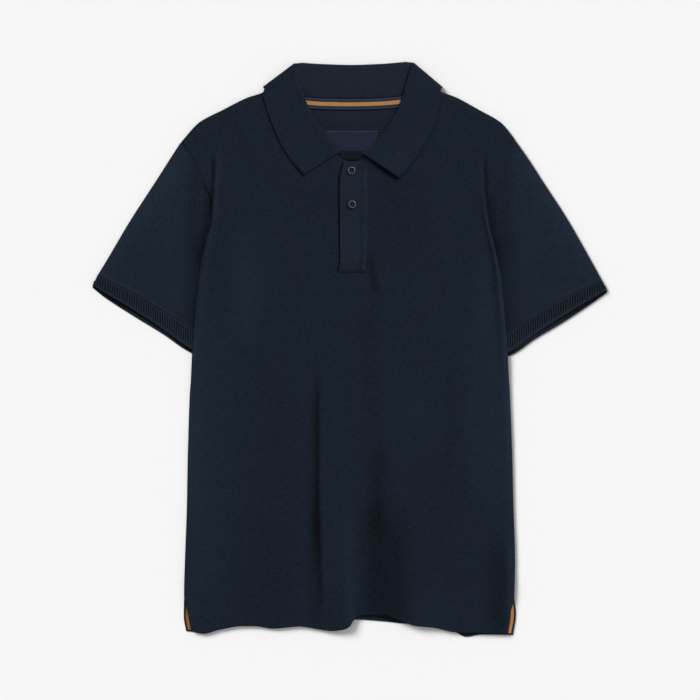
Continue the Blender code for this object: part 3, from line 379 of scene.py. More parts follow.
def meshObject(name, points, faces, corners, finishes, faceFinish=None, paintedShadingPerPoint=None):
    mesh = bpy.data.meshes.new(name)
    mesh.from_pydata((np.asarray(points) * mm).tolist(), [], faces)
    layerUv = mesh.uv_layers.new(name="cloth")
    layerUv.data.foreach_set("uv", (np.asarray(corners, np.float32) * mm).ravel())
    for finish in finishes:
        mesh.materials.append(finish)
    if faceFinish is not None:
        mesh.polygons.foreach_set("material_index", faceFinish)
    if paintedShadingPerPoint is not None:
        mesh.attributes.new("paintedShading", "FLOAT", "POINT").data.foreach_set("value", np.asarray(paintedShadingPerPoint, np.float32))
    mesh.shade_smooth()
    return addObject(name, mesh)


def applyModifiers(made):  # leaves the plain mesh
    before, name = made.data, made.name
    made.data = bpy.data.meshes.new_from_object(made.evaluated_get(bpy.context.evaluated_depsgraph_get()))
    made.modifiers.clear()
    bpy.data.meshes.remove(before)
    made.data.name = name


def softRim(outer, inner, closed):  # rounds a wall's edges
    outer, inner = outer.copy(), inner.copy()
    border = np.zeros(outer.shape[:2], bool)
    border[0] = border[-1] = True
    if not closed:
        border[:, 0] = border[:, -1] = True
    a, b = outer[border].copy(), inner[border].copy()
    outer[border], inner[border] = blend(a, b, 0.28), blend(b, a, 0.28)
    return outer, inner


def clothWall(name, outer, inner, uv, finishes, closed=False, finishOf=None, paintedShading=None):
    # A closed wall between two grids of points (rows, columns, 3). A closed one is a tube, and its
    # uv grid has one column more than its points.
    outer, inner = softRim(outer, inner, closed)
    rows, columns = outer.shape[:2]
    faces, corners, indices = [], [], []

    def add(places, index=0):  # each place is a row, a column and which grid
        faces.append([(grid * rows + j) * columns + i % columns for j, i, grid in places])
        corners.extend(uv[j, i] for j, i, grid in places)
        indices.append(index)

    for grid in (0, 1):
        for j in range(rows - 1):
            for i in range(columns if closed else columns - 1):
                quad = [(j, i, grid), (j + 1, i, grid), (j + 1, i + 1, grid), (j, i + 1, grid)]
                add(quad[::-1] if grid else quad, finishOf(j, i) if finishOf and not grid else 0)
    if closed:
        border = [((0, i), (0, i + 1)) for i in range(columns)]
        border += [((rows - 1, i + 1), (rows - 1, i)) for i in range(columns)]
    else:
        ring = [(0, i) for i in range(columns)] + [(j, columns - 1) for j in range(1, rows)]
        ring += [(rows - 1, i) for i in range(columns - 2, -1, -1)] + [(j, 0) for j in range(rows - 2, 0, -1)]
        border = zip(ring, ring[1:] + ring[:1])
    for a, b in border:
        add([(*a, 0), (*b, 0), (*b, 1), (*a, 1)])
    both = np.concatenate([outer.reshape(-1, 3), inner.reshape(-1, 3)])
    paintedShadingPerPoint = None if paintedShading is None else np.concatenate([paintedShading.ravel(), paintedShading.ravel()])
    return meshObject(name, both, faces, corners, finishes, indices, paintedShadingPerPoint)


def slab(name, under, thickness, finishes, uv=None, finishOf=None):
    outer = under + np.array([0.0, 0.0, thickness])
    uv = under[..., :2] if uv is None else uv
    return clothWall(name, outer, under, uv, finishes, finishOf=finishOf)


class Surface:  # the top of an object that another piece lies on
    def __init__(self, *objects):
        vertices, polygons = [], []
        for made in objects:
            polygons += [[n + len(vertices) for n in p.vertices] for p in made.data.polygons]
            vertices += [v.co / mm for v in made.data.vertices]
        self.tree = BVHTree.FromPolygons(vertices, polygons)

    def height(self, x, y):
        found = self.tree.ray_cast(Vector((x, y, 100)), Vector((0, 0, -1)))[0]
        return 0.0 if found is None else found.z

    def lay(self, plan, clearance):  # plan points put on the surface
        flat = np.asarray(plan, float).reshape(-1, 2)
        tops = np.array([self.height(*p) for p in flat]) + clearance
        return np.column_stack([flat, tops]).reshape(*np.shape(plan)[:-1], 3)


def addNode(tree, kind, settings, sockets):  # a socket is given a value or what feeds it
    made = tree.nodes.new(kind)
    for key, value in settings.items():
        setattr(made, key, value)
    for key, value in sockets.items():
        feed = getattr(value, "socket", value)
        if isinstance(feed, bpy.types.NodeSocket):
            tree.links.new(feed, made.inputs[key])
        else:
            made.inputs[key].default_value = feed
    return made.outputs


class Value:  # a shader socket that arithmetic works on
    def __init__(self, finish, socket):
        self.finish, self.socket = finish, socket

    def maths(self, operation, *others):
        return self.finish.node("Math", {"operation": operation}, dict(enumerate((self, *others))))

    def __add__(self, other): return self.maths("ADD", other)
    def __mul__(self, other): return self.maths("MULTIPLY", other)
    def __sub__(self, other): return self.maths("SUBTRACT", other)
    def __rsub__(self, other): return self.finish.node("Math", {"operation": "SUBTRACT"}, {0: other, 1: self})
    __radd__, __rmul__ = __add__, __mul__


class Finish:  # one material
    def __init__(self, name, constants):
        self.material = bpy.data.materials.new(name)
        self.material.use_nodes = True
        self.tree = self.material.node_tree
        self.shader = self.tree.nodes["Principled BSDF"]
        for key, value in constants.items():
            self.shader.inputs[key].default_value = value

    def node(self, kind, settings, sockets, output=0):
        return Value(self, addNode(self.tree, "ShaderNode" + kind, settings, sockets)[output])

    def parts(self, vector):  # its x and y
        split = self.node("SeparateXYZ", {}, {0: vector})
        return split, Value(self, split.socket.node.outputs[1])

    def noise(self, vector, scale, detail=2.0, stretch=(1, 1, 1)):
        moved = self.node("Mapping", {}, {"Vector": vector, "Scale": stretch})
        return self.node("TexNoise", {}, {"Vector": moved, "Scale": scale, "Detail": detail})

    def mix(self, factor, a, b, clamp=True):
        settings = {"data_type": "RGBA", "clamp_factor": clamp}
        return self.node("Mix", settings, {"Factor": factor, 6: a, 7: b}, output=2)

    def feed(self, key, value):
        self.tree.links.new(value.socket, self.shader.inputs[key])

    def bump(self, height, strength, distance):
        found = self.node("Bump", {}, {"Height": height, "Strength": strength, "Distance": distance})
        self.feed("Normal", found)


def shaded(colour, factor):
    return (*[c * factor for c in colour], 1.0)


knits = {  # colour, width and length of a stitch, its depth, share of ribs, how much the yarn varies
    "bodyPique": ((0.0049, 0.00855, 0.0151), (1.25, 1.05), 0.16, 0, 0.55),
    "sleevePique": ((0.0061, 0.0103, 0.0175), (1.25, 1.05), 0.16, 0, 0.55),
    "placketPique": ((0.0063, 0.0106, 0.0174), (1.25, 1.05), 0.14, 0, 0.45),
    "collarKnit": ((0.0048, 0.0084, 0.0147), (0.9, 1.9), 0.16, 0.5, 0.5),
    "standKnit": ((0.0067, 0.0094, 0.0160), (0.9, 3.3), 0.2, 0.9, 0.36),
    "cuffKnit": ((0.0066, 0.0106, 0.0168), (0.9, 1.1), 0.12, 0.3, 0.5),
    # The ribs' colour is the cuff knit painted lighter, as lit, and the grooves' colour is it painted near
    # black, as shaded.
    "litCuffRib": ((0.0128, 0.0193, 0.0298), (0.9, 1.1), 0.12, 0.3, 0.4),
    "shadedCuffGroove": ((0.0008, 0.0013, 0.0023), (0.9, 1.1), 0.12, 0.3, 0.4),
    "halfMoonKnit": ((0.0060, 0.0089, 0.0154), (0.9, 3.6), 0.24, 0.9, 0.3),
    # The under placket's strip is painted darker than the body, as the shade in the gap beside the placket's
    # free edge.
    "shadedUnderFacing": ((0.0028, 0.0039, 0.0069), (1.25, 1.05), 0.1, 0, 0.3),
    "bandEnd": ((0.0035, 0.0050, 0.0082), (0.6, 0.6), 0.08, 0, 0.3),
    "labelTwill": ((0.0105, 0.0143, 0.0283), (0.6, 0.6), 0.08, 0, 0.25),
}


def knitFinish(name):
    colour, cell, depth, ridge, uneven = knits[name]
    made = Finish(name, {"Roughness": 0.92, "Specular IOR Level": 0.10, "Sheen Weight": 0.03,
                         "Sheen Roughness": 0.45, "Sheen Tint": (0.55, 0.68, 0.9, 1.0)})
    place = made.node("UVMap", {"uv_map": "cloth"}, {})
    across, along = made.parts(place)
    turnA = across * (math.tau / cell[0] / mm / 2)
    turnB = along * (math.tau / cell[1] / mm / 2)
    loops = (turnA.maths("SINE") * turnB.maths("SINE")).maths("ABSOLUTE")
    ribs = turnB.maths("SINE").maths("ABSOLUTE")
    height = loops * (1 - ridge) + ribs * ridge
    yarn = made.noise(place, 420.0, 3.0, (1.0, 0.35, 1.0))
    cross = made.noise(place, 400.0, 3.0, (0.34, 1.1, 1.0))
    cloud = made.noise(place, 45.0, 2.0)
    # The shading attribute read here is painted shade and painted light: it darkens the colour where shade
    # falls and lightens it where light catches. Yarn noise and the weave add their own variation.
    paintedShading = made.node("Attribute", {"attribute_name": "paintedShading"}, {}, output=2)
    yarnAndPaintedShading = (yarn + cross) * 0.9 + cloud * 0.2 + height * 0.5 - 0.5 + paintedShading * (0.5 / uneven)
    made.feed("Base Color", made.mix(yarnAndPaintedShading, shaded(colour, 1 - uneven), shaded(colour, 1 + uneven), False))
    made.feed("Roughness", height * -0.1 + 0.95)
    made.bump(height + yarn * 0.4, 0.8, depth * mm)
    return made.material


def plainFinish(name, colour, roughness, speckle, constants=()):
    made = Finish(name, {"Specular IOR Level": 0.25, **dict(constants)})
    place = made.node("TexCoord", {}, {}, output=3)
    grain = made.noise(place, speckle, 3.0)
    made.feed("Base Color", made.mix(grain, shaded(colour, 0.8), shaded(colour, 1.2)))
    made.feed("Roughness", grain * 0.16 + (roughness - 0.08))
    made.bump(grain, 0.2, 0.05 * mm)
    return made.material


# The wearer's right vent tape has the tape's orange painted darker, as shade.
tapeLook = {"orange": (0.34, 0.162, 0.053), "shadedOrange": (0.225, 0.095, 0.024),
            "navy": (0.0075, 0.0095, 0.021), "stripe": (0.31, 0.66)}


def tapeFinish(name, orange):  # a stripe between navy edges, in a fine twill; v runs across it
    made = Finish(name, {"Specular IOR Level": 0.2})
    place = made.node("UVMap", {"uv_map": "cloth"}, {})
    along, across = made.parts(place)
    share = across * (1 / mm)  # the uv across is a share of the width, in thousandths
    low, high = tapeLook["stripe"]
    stripe = share.maths("GREATER_THAN", low) * (1 - share.maths("GREATER_THAN", high))
    twill = (along * (math.tau / 0.9 / mm) + share * (math.tau * 9)).maths("SINE") * 0.5 + 0.5
    grain = made.noise(place, 900.0, 2.0)
    lit = made.mix(twill * 0.6 + grain * 0.4, shaded(orange, 0.62), shaded(orange, 1.28))
    dark = made.mix(grain, shaded(tapeLook["navy"], 0.7), shaded(tapeLook["navy"], 1.4))
    made.feed("Base Color", made.mix(stripe, dark, lit))
    made.feed("Roughness", grain * 0.2 + 0.6)
    made.bump(twill, 0.5, 0.08 * mm)
    return made.material


finishes = {name: knitFinish(name) for name in knits}
finishes["tape"] = tapeFinish("tapeWeave", tapeLook["orange"])
finishes["shadedVentTape"] = tapeFinish("shadedTapeWeave", tapeLook["shadedOrange"])
finishes["thread"] = plainFinish("navyThread", (0.0066, 0.0106, 0.0172), 0.6, 1500.0)
finishes["blueThread"] = plainFinish("blueThread", (0.085, 0.115, 0.250), 0.55, 1500.0)
finishes["buttonThread"] = plainFinish("buttonThread", (0.011, 0.009, 0.010), 0.7, 1500.0)
# The rim's light colour is a painted highlight, with real gloss from its specular and coat.
finishes["buttonRimHighlight"] = plainFinish("buttonRimHighlight", (0.105, 0.100, 0.125), 0.25, 900.0,
                                    {"Specular IOR Level": 0.5, "Coat Weight": 0.3, "Coat Roughness": 0.15})
finishes["button"] = plainFinish("buttonResin", (0.006, 0.006, 0.009), 0.5, 500.0,
                                 {"Specular IOR Level": 0.2})
print("finishes made:", len(finishes))


class Tree:  # a Geometry Nodes group with named inputs
    def __init__(self, name, inputs):
        self.group = bpy.data.node_groups.new(name, "GeometryNodeTree")
        self.face = self.group.interface
        self.ids = {}
        for kind, key, value in (("NodeSocketGeometry", "Geometry", None), *inputs):
            made = self.face.new_socket(name=key, in_out="INPUT", socket_type=kind)
            self.ids[key] = made.identifier
            if value is not None:
                made.default_value = value
        self.face.new_socket(name="Geometry", in_out="OUTPUT", socket_type="NodeSocketGeometry")
        self.start = self.group.nodes.new("NodeGroupInput")
        self.end = self.group.nodes.new("NodeGroupOutput")

    def node(self, kind, settings, sockets, output=0):
        return addNode(self.group, kind, settings, sockets)[output]

    def finish(self, geometry, material):
        real = self.node("GeometryNodeRealizeInstances", {}, {0: geometry})
        done = self.node("GeometryNodeSetMaterial", {}, {"Geometry": real, "Material": material})
        self.group.links.new(done, self.end.inputs[0])


def stitchTree():  # beads laid end to end along a line
    floats = [("NodeSocketFloat", key, value) for key, value in
              (("Pitch", 0.003), ("Length", 0.002), ("Width", 0.0006), ("Height", 0.0004))]
    tree = Tree("stitchRow", [*floats, ("NodeSocketMaterial", "Thread", None)])
    given = tree.start.outputs
    curve = tree.node("GeometryNodeMeshToCurve", {}, {0: given["Geometry"]})
    spots = tree.node("GeometryNodeResampleCurve", {"mode": "LENGTH"},
                      {"Curve": curve, "Length": given["Pitch"]})
    tangent = tree.node("GeometryNodeInputTangent", {}, {})
    turn = tree.node("FunctionNodeAlignRotationToVector", {"axis": "X"}, {"Vector": tangent})
    size = tree.node("ShaderNodeCombineXYZ", {},
                     {"X": given["Length"], "Y": given["Width"], "Z": given["Height"]})
    bead = tree.node("GeometryNodeMeshUVSphere", {}, {"Segments": 6, "Rings": 4, "Radius": 0.5})
    laid = tree.node("GeometryNodeInstanceOnPoints", {},
                     {"Points": spots, "Instance": bead, "Rotation": turn, "Scale": size})
    tree.finish(laid, given["Thread"])
    return tree


def ridgeTree():  # a low round ridge that follows a line
    tree = Tree("ridgeRow", [("NodeSocketFloat", "Width", 0.001), ("NodeSocketFloat", "Height", 0.0005),
                             ("NodeSocketMaterial", "Thread", None)])
    given = tree.start.outputs
    curve = tree.node("GeometryNodeMeshToCurve", {}, {0: given["Geometry"]})
    circle = tree.node("GeometryNodeCurvePrimitiveCircle", {}, {"Resolution": 8, "Radius": 0.5})
    size = tree.node("ShaderNodeCombineXYZ", {}, {"X": given["Width"], "Y": given["Height"], "Z": 1.0})
    profile = tree.node("GeometryNodeTransform", {}, {"Geometry": circle, "Scale": size})
    ridge = tree.node("GeometryNodeCurveToMesh", {},
                      {"Curve": curve, "Profile Curve": profile, "Fill Caps": True})
    tree.finish(ridge, given["Thread"])
    return tree


stitchRow, ridgeRow = stitchTree(), ridgeTree()


def alongLines(name, tree, paths, values):  # runs a tree over polylines and keeps the plain mesh
    mesh = bpy.data.meshes.new(name + "Lines")
    knots, edges = [], []
    for path in paths:
        edges += [(len(knots) + n, len(knots) + n + 1) for n in range(len(path) - 1)]
        knots += (np.asarray(path) * mm).tolist()
    mesh.from_pydata(knots, edges, [])
    made = addObject(name, mesh)
    modifier = made.modifiers.new(name, "NODES")
    modifier.node_group = tree.group
    for key, value in values.items():
        modifier[tree.ids[key]] = value
    applyModifiers(made)
    made.data.shade_smooth()
    return made


def rides(made):
    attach(made, "root")
    return made


def stitches(name, paths, thread="thread", pitch=2.8, length=2.2, width=0.55, height=0.45):
    values = {"Pitch": pitch * mm, "Length": length * mm, "Width": width * mm, "Height": height * mm,
              "Thread": finishes[thread]}
    return rides(alongLines(name, stitchRow, paths, values))


def place(made, node, slot, flat, restsOn=(), area=None, extra=()):  # rides on the root and hides the node it replaces
    rides(made)
    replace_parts(made, node)
    flat[0] * mm
    flat[1] * mm
    None if area is None else area * mm * mm


bodyWidth = 441
backLook = {"length": 650, "step": 5.0, "halfMoonY": 246.0, "halfMoonReach": 96.0, "flat": (442, 742),
            "area": 283000, "leafFade": (1.03, 1.20),
            "leafArea": (4.6, 367.3, 140.0, 66.5)}  # over the collar: centre, half sizes


def backUnder(x, y):  # on the floor, but raised over the collar's back leaf
    return layer * (1.0 - smooth(*backLook["leafFade"], ovalReach(x, y, backLook["leafArea"])))


backTop = Outline(rightShoulder, backNeck, leftShoulder)
backEdges = Sides(armhole, backSides)


def makeBack():
    across, down = lines(bodyWidth, backLook["step"]), lines(backLook["length"], backLook["step"])
    plan = patch(backTop.at, Outline(backHem).at, backEdges.right, backEdges.left, across, down)
    x, y = plan[..., 0], plan[..., 1]
    under = np.dstack([x, y, backUnder(x, y)])
    moon = (y > backLook["halfMoonY"]) & (np.abs(x) < backLook["halfMoonReach"])
    return slab("backPanel", under, cloth["wall"], [finishes["bodyPique"], finishes["halfMoonKnit"]],
                finishOf=lambda j, i: int(moon[j, i]))


back = makeBack()
backSurface = Surface(back)
print("back made")


frontLook = {"length": 645, "chest": 3.2, "neck": 4.5, "neckOval": (2.0, 315.0, 128.0, 103.0),
             "sideRoll": 11.0, "rollAt": 8.0, "rollWidth": 7.0, "shoulderRoll": 9.0, "seamWelt": 0.30,
             "overSleeve": (-60.0, -20.0, 185.0, 215.0), "weltY": (195.0, 215.0), "hemStitch": 19.0,
             "hemStitchX": (-205, 205), "flat": (442, 742), "area": 277000, "steps": (3.0, 3.4),
             "ripples": ((0.20, 4, 70.0, 1.6), (0.07, 9, 24.0, 1.4)),  # depth, seed, size, stretch
             "finer": ((0.020, 0.062, 16), (0.378, 0.424, 20), (0.505, 0.535, 12)),  # columns at creases
             "leafShade": {"right": 0.55, "left": 0.30}, "leafReach": 2.6,
             "tipShift": (-1.5, -2.2), "tipShade": 0.9, "tipReach": 3.8}


def foldRise(x, y):
    total = np.zeros_like(x)
    for i in range(len(folds["topY"])):
        fold = {name: column[i] for name, column in folds.items()}
        t = (fold["topY"] - y) / (fold["topY"] - fold["bottomY"])
        fade = smooth(-0.25, 0.1, t) * (1.0 - smooth(0.98, 1.2, t))
        t = np.clip(t, 0.0, 1.0)
        crest = read((0.0, 0.5, 1.0), (fold["topX"], fold["midX"], fold["bottomX"]), t)
        width = np.where(x < crest, fold["rightWidth"], fold["leftWidth"])
        rise = blend(fold["topRise"], fold["bottomRise"], t * t)
        total += fade * rise * bell(x - crest, width)
    return total


def frontLevel(x, y):
    reach = ovalReach(x, y, frontLook["neckOval"])
    below = smooth(1.0, 1.4, reach)
    soft = sum(depth * ripple(x, y, *shape) for depth, *shape in frontLook["ripples"])
    fine = (alongCreases(x, y, frontCreases) + soft) * smooth(0.9, 1.5, reach)
    return blend(frontLook["neck"], frontLook["chest"] + foldRise(x, y), below) + fine


frontTop = Outline(rightShoulder, frontNeck, leftShoulder)
frontEdges = Sides(frontSides)


def makeFront():
    stepAcross, stepDown = frontLook["steps"]
    across, down = lines(bodyWidth, stepAcross), lines(frontLook["length"], stepDown)
    finer = [np.linspace(*span) for span in frontLook["finer"]]
    across = np.unique(np.concatenate([across, *finer, 1 - finer[0]]))
    plan = patch(frontTop.at, Outline(frontHem).at, frontEdges.right, frontEdges.left, across, down)
    x, y = plan[..., 0], plan[..., 1]
    start = frontTop.at(across)[None]
    right, left = frontEdges.right(down)[:, None], frontEdges.left(down)[:, None]
    side = np.minimum(np.linalg.norm(plan - right, axis=-1), np.linalg.norm(plan - left, axis=-1))
    edge, roll = frontEdges.value("edge", down)[:, None], frontEdges.value("roll", down)[:, None]
    z = blend(edge, frontLevel(x, y), rounding(side, frontLook["sideRoll"]))
    z += roll * bell(side - frontLook["rollAt"], frontLook["rollWidth"]) * rounding(side, frontLook["rollAt"])
    welt = smooth(*frontLook["weltY"], y) * (1 - smooth(4.0, 6.0, side)) * rounding(side, 1.5)
    z += frontLook["seamWelt"] * welt
    low = backUnder(x, y) + layer
    shoulder = (start[..., 0] <= rightShoulder["x"][-1]) | (start[..., 0] >= leftShoulder["x"][0])
    rolled = blend(low, z, rounding(np.linalg.norm(plan - start, axis=-1), frontLook["shoulderRoll"]))
    z = np.maximum(np.where(shoulder, rolled, z), low)
    under = np.dstack([x, y, z])
    lowest, low, high, highest = frontLook["overSleeve"]
    turned = smooth(lowest, low, y) * (1 - smooth(high, highest, y))
    thick = cloth["wall"] * (1 - 0.7 * turned * (1 - rounding(side, 3.5)))
    outer = under + np.dstack([0 * x, 0 * x, thick])
    # Painted shading from the table, and painted shadows along both collar leaves' edges and below the left
    # leaf's front edge, shifted the way its shadow falls.
    paintedShading = alongCreases(x, y, frontPaintedShading)
    reach = frontLook["leafReach"]
    for end, rows in collarRows.items():
        paintedShading -= frontLook["leafShade"][end] * alongPath(x, y, pointsOf(rows, "leafX leafY"), reach, reach)[0]
    fold, tip = (pointsOf(leftCollar, names)[0] + frontLook["tipShift"]
                 for names in ("foldX foldY", "leafX leafY"))
    share, place = alongPath(x, y, np.array([fold, tip]), frontLook["tipReach"], frontLook["tipReach"])
    paintedShading -= frontLook["tipShade"] * share * smooth(0.0, 0.1, place) * (1 - 0.6 * smooth(0.8, 1.0, place))
    return clothWall("frontPanel", outer, under, under[..., :2], [finishes["bodyPique"]], paintedShading=paintedShading)


front = makeFront()
frontSurface = Surface(front)
print("front made")


sleeveLook = {"loft": 3.2, "rise": 1.7, "gridWidth": 200, "gridLength": 170, "step": 3.6, "length": 165.0,
              "knitLength": 160.0, "welt": 0.35, "weltEnds": (3.7, 4.6), "weltLighter": 0.24,
              "clearFrom": (2.0, 34.0), "headY": (206.0, 226.0), "headReach": 14.0, "stitchInset": 3.4,
              "flat": (470, 190), "area": 42000}
cuffLook = {"loft": 2.9, "ribs": 88, "ribWidth": 1.7, "ribHeight": 1.25, "band": (0.17, 0.76), "skew": 3.2,
            "depth": 23.0, "lift": 0.35, "mouth": 0.8, "length": 20.0, "rowStep": 1.0, "ringStep": 2.4,
            "flat": (310, 24), "area": 7400}


def flatRing(loft, thickness, length, shares):
    # Round a flattened tube: distance in from the outer edge, height, share of the top's rise.
    middle = loft / 2
    radius = middle - thickness
    turns = np.radians(np.linspace(-90, 90, 9))
    near = np.column_stack([middle - radius * np.cos(turns), middle + radius * np.sin(turns), 0 * turns])
    far = near[::-1] * (-1, 1, 1) + (length, 0, 0)
    shares = np.asarray(shares)
    level = np.ones(len(shares))
    top = np.column_stack([length * shares, level * (loft - thickness), np.sin(np.pi * shares) ** 0.8])
    floor = np.column_stack([length * shares[::-1], level * thickness, 0 * shares])
    return np.concatenate([near, top, far, floor])


def ringShares(length, step):
    inner = lines(length, step, ())
    return inner[(inner * length > 3.0) & ((1 - inner) * length > 3.0)]


def frontEdge(values, y):  # a column of the front's edge at a height of the plan
    return read(-(frontSides["rightY"] + frontSides["leftY"]) / 2, values, -np.asarray(y, float))


def frontEdgeAt(y):
    return frontEdge((frontSides["leftX"] - frontSides["rightX"]) / 2, y)


def seamTop(y):  # the top of the front along its edge
    return frontEdge(frontSides["edge"], y) + cloth["wall"]


def sideTrack(rows, side):
    return Track(pointsOf(rows, f"{side}X {side}Y"))


def armholeAt(side, out, shares):  # the back's armhole, moved out
    armpit = backEdges.keys[len(armhole["rightX"]) - 1]
    return backEdges.edge(side)(armpit * shares) + (out if side == "left" else -out, 0.0)


def roundLength(ring):  # the length along a closed ring at each of its points, and back at the first
    steps = np.linalg.norm(np.diff(ring[:, :2], axis=0, append=ring[:1, :2]), axis=1)
    return np.concatenate([[0.0], np.cumsum(steps)])


def tube(name, side, grids, finishes, finishOf=None):  # from lists for the outside, inside, uv and painted shading
    outer, inner, uv, paintedShading = (np.array(grid)[:, ::-1 if side == "left" else 1] for grid in grids)
    return clothWall(f"{name}_{side}", outer, inner, uv, finishes, True, finishOf, paintedShading)


def makeSleeve(side):
    hole = Track(armholeAt(side, cloth["armholeSeam"], np.linspace(0, 1, 49)))
    seam = sideTrack(cuffSeam, side)
    edge = Track([hole.at(0.0), *sideTrack(sleeveEdge, side).points])
    underarm = Track([hole.at(1.0), seam.at(1.0)])

    def spread(across, down):
        return patch(hole.at, seam.at, edge.at, underarm.at, across, down)[0]

    shares = ringShares(sleeveLook["gridWidth"], sleeveLook["step"])
    outer, inner, uv, paintedShading = grids = [], [], [], []
    for down in lines(sleeveLook["gridLength"], sleeveLook["step"], (0.5, 1.3, 2.4, 3.6, 4.6)):
        length = Track(spread(np.linspace(0, 1, 33), down)).length
        fromCuff, fromHole = (1 - down) * sleeveLook["length"], down * sleeveLook["length"]
        welt = 1 - smooth(*sleeveLook["weltEnds"], fromCuff)  # the seam allowance, turned up and sewn down
        for thickness, rings in ((0.0, outer), (cloth["wall"], inner)):
            ring = flatRing(sleeveLook["loft"], thickness, length, shares)
            x, y = spread(np.clip(ring[:, 0] / length, 0, 1), down).T
            upper = smooth(0.0, 1.0, (ring[:, 1] - 1.0) / (sleeveLook["loft"] - 2.0))
            clear = smooth(*sleeveLook["clearFrom"], np.abs(x) - frontEdgeAt(y))
            rise = sleeveLook["rise"] * ring[:, 2] * clear * (1.0 - 0.8 * smooth(0.8, 1.0, down))
            rise += mouthRise(ring[:, 0] / length, 0.0) * upper * smooth(0.55, 1.0, down)
            rise += sleeveLook["welt"] * upper * welt
            head = seamTop(y) - sleeveLook["loft"]
            rise += upper * head * smooth(*sleeveLook["headY"], y) * bell(fromHole, sleeveLook["headReach"])
            fine = alongCreases(x, y, sleeveCreases[side]) + 0.12 * ripple(x, y, 21, 46.0)
            fine *= upper * clear * np.minimum(ring[:, 2] * 2, 1) * (1 - smooth(0.9, 1.0, down))
            rings.append(np.column_stack([x, y, ring[:, 1] + rise + fine]))
        uv.append([(u, -sleeveLook["knitLength"] * down) for u in roundLength(ring)])
        # painted shading from the table, and the colour lighter over the welt
        paintedShading.append(alongCreases(x, y, sleevePaintedShading[side]) + sleeveLook["weltLighter"] * welt)
    return tube("sleevePanel", side, grids, [finishes["sleevePique"]])


def mouthRise(share, down):  # how far the top layer stands open towards the cuff's edge
    return cuffLook["mouth"] * np.sin(np.pi * np.clip(share, 0, 1)) ** 0.6 * (0.45 + 0.55 * down)


def cuffPoint(side, distance, height, down):  # a place on the cuff, `height` above the floor
    seam, floorEdge = sideTrack(cuffSeam, side), sideTrack(cuffEdge, side)
    topEdge = Track(floorEdge.points + np.column_stack([0 * cuffEdge["short"], cuffEdge["short"]]))
    across = np.clip(distance / seam.length, 0, 1)
    share = smooth(cloth["wall"], cuffLook["loft"] - cloth["wall"], height)[:, None]
    end = floorEdge.at(across) * (1 - share) + topEdge.at(across) * share
    start = seam.at(across)
    plan = (start + unit(end - start) * cloth["seam"]) * (1 - down) + end * down
    return np.column_stack([plan, height + cuffLook["lift"] + share[:, 0] * mouthRise(across, down)])


def makeCuff(side):
    length, edge = sideTrack(cuffSeam, side).length, sideTrack(cuffEdge, side)
    shares = ringShares(length, cuffLook["ringStep"])
    outer, inner, uv, paintedShading = grids = [], [], [], []
    rows = lines(cuffLook["length"], cuffLook["rowStep"], (0.4,))
    low, high = cuffLook["band"]
    for down in rows:
        for thickness, rings in ((0.0, outer), (cloth["wall"], inner)):
            ring = flatRing(cuffLook["loft"], thickness, length, shares)
            rings.append(cuffPoint(side, ring[:, 0], ring[:, 1], down))
        uv.append([(u, -cuffLook["length"] * down) for u in roundLength(ring)])
        onFloor = ring[:, 1] < cuffLook["loft"] / 2  # dark as far as the top layer shades it
        along = np.clip(ring[:, 0] / length, 0, 1) * edge.length
        lit = np.interp(along, edge.keys, cuffEdge["short"] - cuffEdge["shade"])
        start = 1 - lit / cuffLook["depth"]
        dark = smooth(start - 0.02, start + 0.04, down) * 0.97 - 0.97
        paintedShading.append(np.where(onFloor, dark, 0.10 * (down > high)))
    cuff = tube("cuffBand", side, grids, [finishes["cuffKnit"], finishes["shadedCuffGroove"]],
                lambda j, i: int(low <= (rows[j] + rows[j + 1]) / 2 <= high))
    ring = flatRing(cuffLook["loft"], 0.0, length, ringShares(length, 1.0))
    keys = roundLength(ring)
    loop = np.concatenate([ring, ring[:1]])
    ribs = []
    for n in range(cuffLook["ribs"]):
        start = keys[-1] * n / cuffLook["ribs"]
        lean = cuffLook["skew"] * (1 if start < keys[-1] / 2 else -1)
        rib = []
        for t in np.linspace(0, 1, 5):
            where = (start + lean * t) % keys[-1]
            distance, height = (np.array([np.interp(where, keys, column)]) for column in loop.T[:2])
            rib.append(cuffPoint(side, distance, height, blend(low, high, t))[0])
        ribs.append(rib)
    sizes = {"Width": cuffLook["ribWidth"] * mm, "Height": cuffLook["ribHeight"] * mm}
    made = alongLines("cuffRibs_" + side, ridgeRow, ribs, {**sizes, "Thread": finishes["litCuffRib"]})
    return cuff, rides(made)


sides = ("right", "left")
sleeves = {side: makeSleeve(side) for side in sides}
cuffs = {side: makeCuff(side) for side in sides}
print("sleeves and cuffs made")


collarLook = {"axis": 3.6, "stand": 1.5, "leaf": 3.0, "opening": 0.9, "reach": 10.0, "stitchInset": 6.0,
              "stitchStart": 5.0, "backRise": 1.1, "neckCentre": (2.6, 330.0), "neckShares": (0.10, 0.90),
              "flat": (455, 100), "area": 41000,
              "standShares": (1.0, 0.985, 0.93, 0.82, 0.7, 0.56, 0.42, 0.28, 0.14),  # from seam to fold
              "leafShares": (0.06, 0.13, 0.2, 0.28, 0.36, 0.44, 0.52, 0.6, 0.68, 0.76, 0.84, 0.9, 0.95, 0.985,
                             1.0)}
peaks = {"right": ((-72.5, 376.0), (-114.4, 344.6), (-97.0, 351.0)),  # fold, leaf edge, neck seam
         "left": ((82.8, 377.1), (121.6, 344.3), (103.4, 359.7))}


